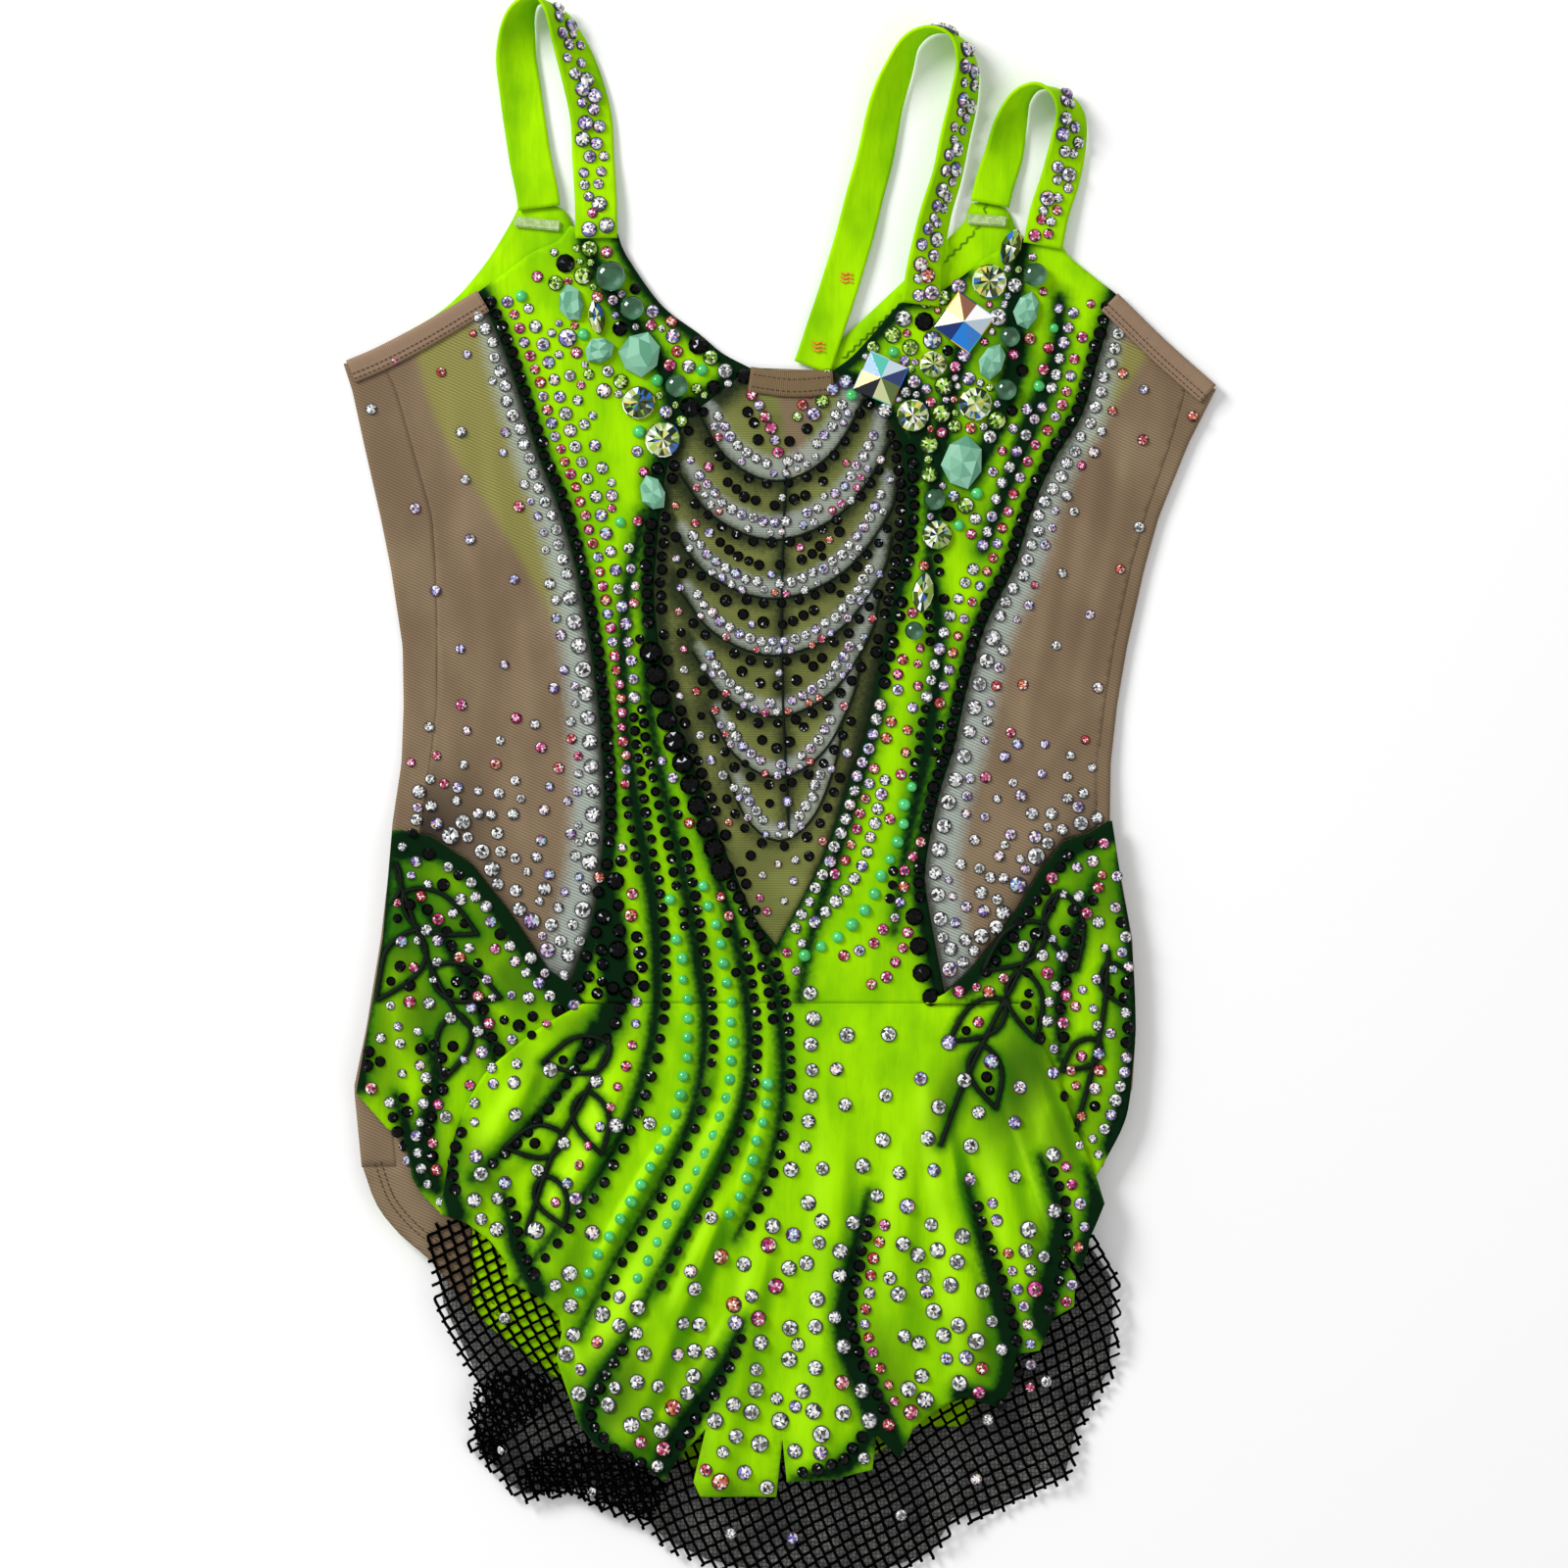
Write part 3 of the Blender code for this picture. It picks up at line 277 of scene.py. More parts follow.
skirtOutline = closedLine(smoothLine(cut["skirtLeftEdge"]), cut["skirtHem"],
                          smoothLine(cut["skirtRightEdge"]),
                          [(2, -86)])
briefOutline = closedLine([(-156, -60), (-168, -120)], smoothLine(cut["leftLeg"], 9),
                          smoothLine(cut["rightLeg"], 9), [(137, -96), (128, -20), (2, -86)])
backSkirtOutline = closedLine(cut["backSkirtHem"], cut["backSkirtTop"])
netOutline = closedLine(cut["netHem"], cut["netTop"])


def foldHeight(rows, x, y):
    total = np.zeros(np.shape(x))
    for x0, y0, x1, y1, halfWidth, height in rows:
        dx, dy = x1 - x0, y1 - y0
        length = math.hypot(dx, dy)
        t = ((x - x0) * dx + (y - y0) * dy) / length ** 2
        off = ((x - x0) * dy - (y - y0) * dx) / length
        spread = halfWidth * (0.6 + 0.6 * np.clip(t, 0, 1.2))
        total = total + (height * ramp(t / 0.35 + 0.1) * ramp((1.25 - t) / 0.2)
                         * np.exp(-((off / spread) ** 2)))
    return total


def creaseHeight(kind, x, y):
    total = np.zeros(np.shape(x))
    for points, halfWidth, height in creases[kind]:
        away, along, side = nearLine(smoothLine(points, 5), x, y)
        fade = ramp(along / 0.25) * ramp((1 - along) / 0.3)
        # steeper on one side than on the other, as cloth rolls over
        width = np.where(side > 0, halfWidth * 1.5, halfWidth * 0.8)
        total = total + height * fade * np.exp(-((away / width) ** 2))
    return total


def backLevel(x, y):
    return cut["cloth"] / 2 + cut["underSkirt"] * ramp((38 - np.asarray(y, float)) / 70)


def smoothFront(x, y):
    fromFold = np.minimum(x - across(1, y), across(4, y) - x)
    side = (2 * cut["fold"] - cut["layer"]) * np.exp(-((np.maximum(fromFold, 0) / 9) ** 2))
    return backLevel(x, y) + cut["layer"] + side


def frontLevel(x, y):
    return smoothFront(x, y) + creaseHeight("body", x, y)


def backSkirtLevel(x, y):
    return cut["cloth"] / 2 + (cut["net"] + cut["gap"]) * ramp((-60 - np.asarray(y, float)) / 50)


def smoothNetLevel(x, y):
    beyondSkirt = ramp((-depthInside(backSkirtOutline, x, y) - 8) / 24)
    lower = backSkirtLevel(x, y) + cut["layer"] - cut["cloth"] * beyondSkirt
    beyond = ramp((-depthInside(briefOutline, x, y) - 10) / 34)
    return lower + (smoothFront(x, y) + cut["layer"] - lower) * (1 - beyond)


def netLevel(x, y):
    uncovered = ramp((-depthInside(skirtOutline, x, y) - 4) / 10)
    return smoothNetLevel(x, y) + (foldHeight(deepFolds["net"], x, y) + creaseHeight("net", x, y)) * uncovered


def hipLevel(x, y):
    return smoothFront(x, y) + cut["layer"] + cut["gap"] + creaseHeight("hip", x, y)


def skirtFolds(x, y):
    return foldHeight(deepFolds["skirt"], x, y) + creaseHeight("skirt", x, y)


def skirtLevel(x, y):
    full = smoothNetLevel(x, y) + (cut["net"] + cut["cloth"]) / 2 + 3 * cut["gap"]
    nearEnds = np.maximum((-56 - x) / 20, (x - 74) / 20)
    rise = ramp(np.maximum((-86 - y) / 20, nearEnds))
    # sewn edge to edge with the bodice, then up over the brief
    start = smoothFront(x, y) + cut["layer"] * ramp((-85 - y) / 8)
    return start + (full - start) * rise + skirtFolds(x, y) * ramp((-86 - y) / 20)


def onFront(x, y):
    return smoothFront(x, y) + cut["layer"]


# Colours are sRGB hex values, turned to linear light by one function.
def colour(code):
    parts = [int(code[i:i + 2], 16) / 255 for i in (0, 2, 4)]
    return tuple(c / 12.92 if c <= 0.04045 else ((c + 0.055) / 1.055) ** 2.4 for c in parts) + (1.0,)


def addNode(tree, kind, inputs=None, **settings):
    node = tree.nodes.new(kind)
    for name, value in settings.items():
        setattr(node, name, value)
    for key, value in (inputs or {}).items():
        socket = node.inputs[key]
        if isinstance(value, bpy.types.NodeSocket):
            tree.links.new(value, socket)
        else:
            socket.default_value = value
    return node


def startMaterial(name, roughness, specular=0.5):
    made = bpy.data.materials.new(name)
    made.use_nodes = True
    tree = made.node_tree
    shader = tree.nodes["Principled BSDF"]
    shader.inputs["Roughness"].default_value = roughness
    shader.inputs["Specular IOR Level"].default_value = specular
    return made, tree, shader


def pattern(tree, kind, scale, inputs=None, settings=None, turn=0.0, space="Object"):
    # a texture that is read in millimetres, turned about Z
    where = addNode(tree, "ShaderNodeTexCoord").outputs[space]
    where = addNode(tree, "ShaderNodeMapping", {"Vector": where, "Rotation": (0, 0, math.radians(turn)),
                                                "Scale": [1000 * s for s in scale]}).outputs["Vector"]
    made = addNode(tree, "ShaderNodeTex" + kind, {"Vector": where, "Scale": 1.0, **(inputs or {})},
                   **(settings or {}))
    return made.outputs["Distance" if kind == "Voronoi" else "Fac"]


def over(tree, below, above, share, low=None, high=None, strength=1.0):
    # lays a colour over another by a share, which may be read between two limits and thinned
    if low is not None:
        share = addNode(tree, "ShaderNodeMapRange", {"Value": share, "From Min": low, "From Max": high},
                        interpolation_type="SMOOTHSTEP").outputs["Result"]
    if strength < 1:
        share = addNode(tree, "ShaderNodeMath", {0: share, 1: strength}, operation="MULTIPLY").outputs[0]
    sides = [colour(side) if isinstance(side, str) else side for side in (below, above)]
    return addNode(tree, "ShaderNodeMix", {0: share, 6: sides[0], 7: sides[1]}, data_type="RGBA").outputs[2]


def clothMaterial(name, look, painted=True, **changes):
    # bare cloth, its knit, and layers of ink that follow the attributes painted on the mesh
    look = {**look, **changes}
    made, tree, shader = startMaterial(name, *look["shine"])
    knit = pattern(tree, *look["knit"])
    cloth = look["base"]
    if "patches" in look:
        other, scale, detail, low, high = look["patches"]
        cloth = over(tree, cloth, other, pattern(tree, "Noise", scale, {"Detail": detail}), low, high)
    if painted and "speck" in look:
        # fine noise makes the edge of the ink uneven
        speck = pattern(tree, "Noise", (look["speck"],) * 3, {"Detail": 4.0})
        speck = addNode(tree, "ShaderNodeMath", {0: speck, 1: 0.5}, operation="SUBTRACT").outputs[0]
    for source, spread, low, high, strength, code in look["layers"]:
        if source == "knit":
            share = knit
        elif painted:
            share = addNode(tree, "ShaderNodeAttribute", attribute_name=source).outputs["Fac"]
        else:
            continue
        if spread:
            share = addNode(tree, "ShaderNodeMath", {0: speck, 1: spread, 2: share},
                            operation="MULTIPLY_ADD").outputs[0]
        cloth = over(tree, cloth, code, share, low, high, strength)
    tree.links.new(cloth, shader.inputs["Base Color"])
    for key, value in look.get("shader", {}).items():
        shader.inputs[key].default_value = value
    strength, distance = look["bump"]
    bump = addNode(tree, "ShaderNodeBump", {"Height": knit, "Strength": strength, "Distance": distance})
    tree.links.new(bump.outputs["Normal"], shader.inputs["Normal"])
    return made


# In each look, a layer is what it follows, the noise on it, its two limits, its strength and its colour.
# Stretch velvet, knitted on a warp machine and cut to a 1 mm pile, has a deep even colour and no gloss. Each
# fold gets painted shade on the flank that slopes away from the key lamp and a painted highlight on the flank
# that faces it. Airbrushed ink soaks in dark with a soft edge. Wales are 0.8 mm apart in the cloth, drawn 1.5
# mm apart so that they show.
velvetLook = {
    "shine": (0.95, 0.06), "base": "9CDB00", "patches": ("78B902", (0.06, 0.03, 0.06), 3.0, 0.35, 0.75),
    "knit": ("Noise", (1 / 1.5, 0.09, 0.3)), "bump": (0.35, 0.0004), "speck": 0.5,
    # the two lean layers are painted shade and painted highlight on the folds
    "layers": (("knit", 0, 0.5, 0.8, 0.3, "78B902"), ("lean", 0, 0.04, 0.5, 0.85, "3F8A05"),
               ("lean", 0, -0.04, -0.45, 0.7, "B0EC16"), ("haze", 0, None, None, 0.92, "12420A"),
               ("ink", 2.4, -7.0, 1.0, 0.85, "246A08"), ("ink", 2.4, -2.4, 1.4, 1.0, "04200B")),
    "shader": {"Sheen Weight": 0.12, "Sheen Roughness": 0.4, "Sheen Tint": colour("C8FF50")},
}
# Nylon power net, a stretch mesh knitted with slanting ribs, is matt and thin enough for the green back to
# show through. Silver ink sits on it as a dull metal film. Its ribs are drawn 1.8 mm apart so that they show.
powernetLook = {
    "shine": (0.85, 0.15), "base": "7A664F", "patches": ("8E7A60", (0.035, 0.02, 0.035), 3.0, 0.35, 0.7),
    "knit": ("Wave", (1, 1, 1), {"Scale": 0.5 / 1.8, "Distortion": 1.2, "Detail": 1.0, "Detail Scale": 0.4},
             {"bands_direction": "Y"}, 24), "bump": (0.25, 0.0003), "speck": 0.7,
    "layers": (("behind", 0, None, None, 1.0, "8F8F45"), ("silver", 5.0, -6.0, 3.0, 0.85, "A9B8B0"),
               ("coal", 0, None, None, 0.9, "161514"), ("ink", 2.5, -3.0, 1.5, 0.9, "0A160A"),
               ("knit", 0, 0.3, 0.9, 0.5, "4E3F2F")),
}
# Fine stretch mesh over green velvet lets it through as olive, with the mesh's level rows drawn across it,
# again coarser than they are. The airbrushed borders are nearly black.
sheerLook = {
    "shine": (0.8, 0.15), "base": "666B35", "patches": ("7E8344", (0.03, 0.05, 0.03), 2.0, 0.35, 0.7),
    "knit": ("Wave", (1, 1, 1), {"Scale": 0.5 / 1.5, "Distortion": 0.8, "Detail": 1.0, "Detail Scale": 0.2},
             {"bands_direction": "Y"}), "bump": (0.25, 0.0003), "speck": 0.7,
    "layers": (("bare", 0, None, None, 1.0, "7F6C54"), ("ink", 4.0, -6.0, 2.0, 0.95, "0A1A08"),
               ("silver", 4.0, -2.4, 2.0, 0.72, "A6AEA8"), ("knit", 0, 0.3, 0.9, 0.3, "262B14")),
}
# Covered swimwear elastic under the folded mesh is matt, with ribs 1.2 mm apart across it.
elasticLook = {
    "shine": (0.85, 0.2), "base": "977D66", "bump": (0.5, 0.0004),
    "layers": (("knit", 0, None, None, 0.35, "5A4636"),),
    "knit": ("Wave", (1, 1, 1), {"Scale": 0.5 / 1.2, "Distortion": 0.6, "Detail": 1.0},
             {"bands_direction": "X"}, 0.0, "UV"),
}
# Nylon tulle is a soft grey veil of tiny hexagonal holes, 1 mm across, drawn 1.6 mm so that they show.
tulleLook = {
    "shine": (0.9, 0.1), "base": "686866", "patches": ("8E8E8A", (0.05, 0.05, 0.05), 2.0, 0.3, 0.7),
    "knit": ("Voronoi", (1 / 1.6, 1 / 1.6, 0.01), {"Randomness": 0.35}, {"feature": "DISTANCE_TO_EDGE"}),
    "bump": (0.3, 0.0002), "layers": (("knit", 0, 0.2, 0.02, 1.0, "3E3E40"),),
}


def yarnMaterial(name, code, other, scale, roughness, specular):
    # a dyed thread, cord or yarn: one colour, uneven from fibre to fibre
    return clothMaterial(name, {"shine": (roughness, specular), "base": code, "bump": (0.3, 0.0002),
                                "knit": ("Noise", (scale, scale, scale), {"Detail": 3.0}),
                                "layers": (("knit", 0, 0.3, 0.7, 1.0, other),)})


def facetShare(tree, facetTimes, shadeTimes):
    # a share from 0 to 1 that changes by facet and from stone to stone
    share = 0.0
    for name, times in (("facet", facetTimes), ("shade", shadeTimes)):
        value = addNode(tree, "ShaderNodeAttribute", attribute_name=name).outputs["Fac"]
        share = addNode(tree, "ShaderNodeMath", {0: value, 1: times, 2: share},
                        operation="MULTIPLY_ADD").outputs[0]
    return addNode(tree, "ShaderNodeMath", {0: share}, operation="FRACT").outputs[0]


def stoneMaterial(name, stops, rimPaintedShade="3A3B3E", spread=1.0, paintedReflectionLimits=(0.3, 0.86), roughness=0.1, specular=0.3):
    # cut glass with a foiled back: each facet's colour is a painted reflection of the room, so some are
    # nearly black and some white with painted glints, and the edge facets get painted shade; the coating of
    # an aurora stone adds colours that change by facet
    made, tree, shader = startMaterial(name, roughness, specular)
    band = addNode(tree, "ShaderNodeValToRGB", {"Fac": facetShare(tree, spread, 1.0)})
    band.color_ramp.interpolation = "CONSTANT"
    for number, (position, code) in enumerate(stops):
        stop = band.color_ramp.elements[number] if number < 2 else band.color_ramp.elements.new(position)
        stop.position = position
        stop.color = colour(code)
    glass = band.outputs["Color"]
    if paintedReflectionLimits:
        # some facets are picked out as painted dark reflections, others as painted white glints
        paintedReflectionShare = facetShare(tree, 7.31, 3.7)
        for limit, operation, strength, code in ((paintedReflectionLimits[0], "LESS_THAN", 0.86, "08080A"),
                                                 (paintedReflectionLimits[1], "GREATER_THAN", 0.9, "FFFFFF")):
            share = addNode(tree, "ShaderNodeMath", {0: paintedReflectionShare, 1: limit}, operation=operation).outputs[0]
            glass = over(tree, glass, code, share, strength=strength)
    # the edge facets take their colour as painted shade
    onRim = addNode(tree, "ShaderNodeAttribute", attribute_name="rimPaintedShade").outputs["Fac"]
    tree.links.new(over(tree, glass, rimPaintedShade, onRim), shader.inputs["Base Color"])
    return made


def glassyMaterial(name, code, deep, roughness, paintedGlow=None):
    # pressed glass cabochons and beads: milky, with a painted glow on the side away from the lamp standing in
    # for light through the glass, wet on top
    made, tree, shader = startMaterial(name, roughness, 0.6)
    body = over(tree, code, deep, pattern(tree, "Noise", (0.25, 0.25, 0.25)), 0.3, 0.7)
    if paintedGlow:
        lit = addNode(tree, "ShaderNodeAttribute", attribute_name="paintedGlow").outputs["Fac"]
        body = over(tree, body, paintedGlow, lit, 0.1, 1.0)
    tree.links.new(body, shader.inputs["Base Color"])
    shader.inputs["Coat Weight"].default_value = 0.6
    shader.inputs["Coat Roughness"].default_value = 0.05
    return made


velvet = clothMaterial("stretch_velvet_airbrushed", velvetLook)
velvetPlain = clothMaterial("stretch_velvet_plain", velvetLook, painted=False, base="A0DE00")
powernet = clothMaterial("power_net_airbrushed", powernetLook)
powernetPlain = clothMaterial("power_net_plain", powernetLook, painted=False)
sheer = clothMaterial("sheer_mesh_airbrushed", sheerLook)
elastic = clothMaterial("covered_elastic", elasticLook)
elasticNeck = clothMaterial("covered_elastic_neck", elasticLook, base="796548")
tulle = clothMaterial("nylon_tulle", tulleLook)
netYarn = yarnMaterial("fishnet_yarn", "010101", "030304", 1.5, 0.9, 0.03)
cordBlack = yarnMaterial("braided_cord_dark", "020A03", "0A1C0B", 1.2, 0.7, 0.15)
threadDark = yarnMaterial("polyester_thread_dark", "3A2E22", "53432F", 1.0, 0.7, 0.2)
threadGreen = yarnMaterial("polyester_thread_green", "4B7A06", "6A9A0C", 1.0, 0.7, 0.2)
threadOrange = yarnMaterial("polyester_thread_orange", "E2661E", "F0A03A", 1.0, 0.6, 0.3)
elasticLoop = yarnMaterial("elastic_loop_lime", "B4CC8E", "94AE6A", 0.8, 0.7, 0.25)
# In the stones' stops the dark greys and whites are painted reflections of the room, and the pale stops of
# the black glass are painted glints; the tints are the glass's and the aurora coating's own colours.
crystalClear = stoneMaterial("foiled_crystal_clear", (
    (0, "D6D6D4"), (0.2, "8A8C90"), (0.4, "F4F4F4"), (0.55, "55585C"), (0.65, "B0B2B6"), (0.8, "CFCFC6")))
crystalAurora = stoneMaterial("foiled_crystal_aurora", (
    (0, "BDB4D8"), (0.16, "7A72BC"), (0.3, "DCA8B4"), (0.42, "E4E0E8"), (0.56, "5A68B8"), (0.66, "C8C0A0"),
    (0.78, "A468AC"), (0.9, "9AC4C8")), "3C3844", 0.5)
crystalJet = stoneMaterial("jet_glass", (
    (0, "010102"), (0.45, "040506"), (0.84, "0B0C0E"), (0.96, "4A4E54"), (0.985, "C8CCD0")),
    "010101", 1.0, None, 0.14, 0.14)
crystalRed = stoneMaterial("foiled_crystal_red", (
    (0, "B82A78"), (0.14, "DC78A4"), (0.26, "9A2450"), (0.4, "BC3C38"), (0.55, "C46A48"), (0.7, "D8A080"),
    (0.82, "A84444"), (0.92, "C060A0")), "4A1420", 0.4, (0.26, 0.86))
crystalLime = stoneMaterial("foiled_crystal_peridot", (
    (0, "A2CC52"), (0.2, "56841F"), (0.36, "D4E6A2"), (0.52, "2E4C10"), (0.64, "82B43A"), (0.8, "B8D070")),
    "1E3410", 1.0, (0.24, 0.92))
crystalBig = stoneMaterial("foiled_crystal_aurora_large", (
    (0, "DDB23C"), (0.12, "8A5C46"), (0.24, "B9CBD6"), (0.36, "1F78CE"), (0.48, "58BCA8"), (0.58, "16306E"),
    (0.68, "C6CC98"), (0.78, "566E26"), (0.88, "F4F4F4"), (0.95, "20242C")), "50545A", 1.0, None)
crystalGold = stoneMaterial("foiled_crystal_olivine_large", (
    (0, "9CB850"), (0.16, "3E5A16"), (0.3, "C4D29C"), (0.42, "1A2C08"), (0.52, "D8C65A"), (0.62, "2E66B4"),
    (0.7, "6E9A44"), (0.84, "A8B47A")), "2A3814", 1.0, (0.2, 0.9))
opalCut = stoneMaterial("opal_glass_cut", (
    (0, "74AE90"), (0.2, "5A9678"), (0.4, "8CC2A6"), (0.6, "669F83"), (0.8, "7DB698")),
    "52876C", 1.0, None, 0.35, 0.3)
opalMint = glassyMaterial("opal_glass_mint", "4CCB70", "2FA850", 0.18)
glassBead = glassyMaterial("glass_bead_green", "1E5633", "10381F", 0.1, "5FA57C")


def newObject(name, points, faces, material, smooth=True):
    mesh = bpy.data.meshes.new(name)
    mesh.from_pydata([tuple(p) for p in points], [], [tuple(int(i) for i in f) for f in faces])
    mesh.materials.append(material)
    mesh.polygons.foreach_set("use_smooth", [smooth] * len(mesh.polygons))
    mesh.update()
    return linked(name, mesh)


def linked(name, data):
    obj = bpy.data.objects.new(name, data)
    bpy.context.scene.collection.objects.link(obj)
    return obj


def addAttribute(obj, name, values, kind="FLOAT", domain="POINT"):
    slot = obj.data.attributes.new(name, kind, domain)
    slot.data.foreach_set("vector" if kind == "FLOAT_VECTOR" else "value", np.ravel(values).astype(float))


def addUv(obj, uv):
    layer = obj.data.uv_layers.new(name="flat")
    corners = np.empty(len(obj.data.loops), int)
    obj.data.loops.foreach_get("vertex_index", corners)
    layer.data.foreach_set("uv", np.ravel(np.asarray(uv)[corners]))


def thicken(obj, thickness, flatSize):
    # gives a sheet its wall, and notes the width, length and area of its flat cut in metres
    wall = obj.modifiers.new("wall", "SOLIDIFY")
    wall.thickness = thickness / 1000
    wall.offset = 0.0
    obj["flatSize"] = [float(value) for value in flatSize]
    return obj


def resample(xy, step, closed=True):
    # the same line with points at most a step apart, its corners kept
    ends = np.concatenate([xy, xy[:1]]) if closed else xy
    points = []
    for a, b in zip(ends, ends[1:]):
        count = max(1, math.ceil(np.hypot(*(b - a)) / step))
        points += [a + (b - a) * t for t in np.arange(count) / count]
    return np.array(points if closed else [*points, ends[-1]])


def walk(line):
    # a line's length up to each of its points, and its direction there
    lengths = np.concatenate([[0], np.cumsum(np.linalg.norm(np.diff(line, axis=0), axis=1))])
    way = np.gradient(line, axis=0)
    return lengths, way / np.linalg.norm(way, axis=1)[:, None]


def gridFaces(rows, count, flipped=False):
    faces = [(i * count + j, (i + 1) * count + j, (i + 1) * count + j + 1, i * count + j + 1)
             for i in range(rows - 1) for j in range(count - 1)]
    return [(face[0], *face[:0:-1]) for face in faces] if flipped else faces


def clothPiece(name, outline, level, material, spacing=2.0, thickness=1.1, paint=None):
    # a flat cut, filled with close even triangles and draped at its level
    edge = resample(outline, spacing)
    low, high = edge.min(axis=0), edge.max(axis=0)
    rows = np.arange(low[1], high[1], spacing * 0.87)
    grid = [(x + spacing / 2 * (number % 2), y) for number, y in enumerate(rows)
            for x in np.arange(low[0], high[0], spacing)]
    grid = np.array(grid)
    grid = grid[depthInside(outline, grid[:, 0], grid[:, 1]) > spacing * 0.5]
    flat = [Vector(p) for p in np.concatenate([edge, grid])]
    flat, _, faces, *_ = delaunay_2d_cdt(flat, [], [list(range(len(edge)))], 1, 1e-5)
    x, y = np.array([tuple(p) for p in flat]).T
    obj = newObject(name, toFrame(x, y, level(x, y)), faces, material)
    for attribute, values in (paint(x, y) if paint else {}).items():
        addAttribute(obj, attribute, values)
    return thicken(obj, thickness, (*((high - low) / 1000), areaOf(outline) / 1e6))


def newTree(name, sockets):
    tree = bpy.data.node_groups.new(name, "GeometryNodeTree")
    tree.interface.new_socket("Geometry", in_out="OUTPUT", socket_type="NodeSocketGeometry")
    tree.interface.new_socket("Geometry", in_out="INPUT", socket_type="NodeSocketGeometry")
    for label, kind in sockets:
        tree.interface.new_socket(label, in_out="INPUT", socket_type="NodeSocket" + kind)
    return tree, addNode(tree, "NodeGroupInput").outputs


def endTree(tree, geometry, material):
    real = addNode(tree, "GeometryNodeRealizeInstances", {"Geometry": geometry}).outputs[0]
    done = addNode(tree, "GeometryNodeSetMaterial", {"Geometry": real, "Material": material}).outputs[0]
    addNode(tree, "NodeGroupOutput", {"Geometry": done})
    return tree


def settingTree():
    # sets a small piece on each point, by the point's up, along and size
    tree, given = newTree("setOnPoints", (("Piece", "Object"), ("Turn Jitter", "Float"), ("Seed", "Int"),
                                          ("Material", "Material")))
    kinds = {"up": "FLOAT_VECTOR", "along": "FLOAT_VECTOR", "size": "FLOAT"}
    up, along, size = (addNode(tree, "GeometryNodeInputNamedAttribute", {"Name": name},
                               data_type=kind).outputs[0] for name, kind in kinds.items())
    upright = addNode(tree, "FunctionNodeAlignRotationToVector", {"Vector": up}, axis="Z").outputs[0]
    faced = addNode(tree, "FunctionNodeAlignRotationToVector", {"Rotation": upright, "Vector": along},
                    axis="X", pivot_axis="Z").outputs[0]
    # sockets 2 and 3 are the smallest and largest value of a random float, and output 1 is that float
    angle = addNode(tree, "FunctionNodeRandomValue", {2: 0.0, 3: given["Turn Jitter"], "Seed": given["Seed"]},
                    data_type="FLOAT").outputs[1]
    spin = addNode(tree, "FunctionNodeAxisAngleToRotation", {"Axis": (0, 0, 1), "Angle": angle}).outputs[0]
    turned = addNode(tree, "FunctionNodeRotateRotation", {"Rotation": faced, "Rotate By": spin},
                     rotation_space="LOCAL").outputs[0]
    piece = addNode(tree, "GeometryNodeObjectInfo", {"Object": given["Piece"]}).outputs["Geometry"]
    copies = addNode(tree, "GeometryNodeInstanceOnPoints", {"Points": given["Geometry"], "Instance": piece,
                                                            "Rotation": turned, "Scale": size}).outputs[0]
    return endTree(tree, copies, given["Material"])


def tubeTree():
    tree, given = newTree("tubesOfLines", (("Radius", "Float"), ("Sides", "Int"), ("Material", "Material")))
    line = addNode(tree, "GeometryNodeMeshToCurve", {"Mesh": given["Geometry"]}).outputs[0]
    ring = addNode(tree, "GeometryNodeCurvePrimitiveCircle",
                   {"Resolution": given["Sides"], "Radius": given["Radius"]}, mode="RADIUS").outputs[0]
    tube = addNode(tree, "GeometryNodeCurveToMesh",
                   {"Curve": line, "Profile Curve": ring, "Fill Caps": True}).outputs[0]
    return endTree(tree, tube, given["Material"])


setOnPoints = settingTree()
tubesOfLines = tubeTree()


def runTree(name, start, tree, values, smooth):
    # evaluates the tree on the start object once, and keeps the result as a plain mesh
    modifier = start.modifiers.new("build", "NODES")
    modifier.node_group = tree
    for item in tree.interface.items_tree:
        if item.item_type == "SOCKET" and item.in_out == "INPUT" and item.name in values:
            modifier[item.identifier] = values[item.name]
    bpy.context.view_layer.update()
    graph = bpy.context.evaluated_depsgraph_get()
    mesh = bpy.data.meshes.new_from_object(start.evaluated_get(graph))
    mesh.name = name
    mesh.polygons.foreach_set("use_smooth", [smooth] * len(mesh.polygons))
    bpy.data.objects.remove(start)
    return linked(name, mesh)


def tubes(name, lines, radius, sides, material):
    # lines are arrays of frame points
    points, edges = [], []
    for line in lines:
        first = len(points)
        points += [tuple(p) for p in line]
        edges += [(first + i, first + i + 1) for i in range(len(line) - 1)]
    mesh = bpy.data.meshes.new(name + "_lines")
    mesh.from_pydata(points, edges, [])
    return runTree(name, linked(name + "_lines", mesh), tubesOfLines,
                   {"Radius": radius / 1000, "Sides": sides, "Material": material}, True)


def setPieces(name, points, piece, material, jitter=0.0, seed=1, smooth=False):
    # points is a dictionary of arrays: at, up, along, size and shade
    mesh = bpy.data.meshes.new(name + "_points")
    mesh.from_pydata([tuple(p) for p in points["at"]], [], [])
    start = linked(name + "_points", mesh)
    for key in ("up", "along", "size", "shade"):
        addAttribute(start, key, points[key], "FLOAT_VECTOR" if key in ("up", "along") else "FLOAT")
    obj = runTree(name, start, setOnPoints,
                  {"Piece": piece, "Turn Jitter": jitter, "Seed": seed, "Material": material}, smooth)
    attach(obj, "root")
    return obj


def skirtSeam(x):
    return np.interp(x, *np.array(cut["skirtLine"], float).T)


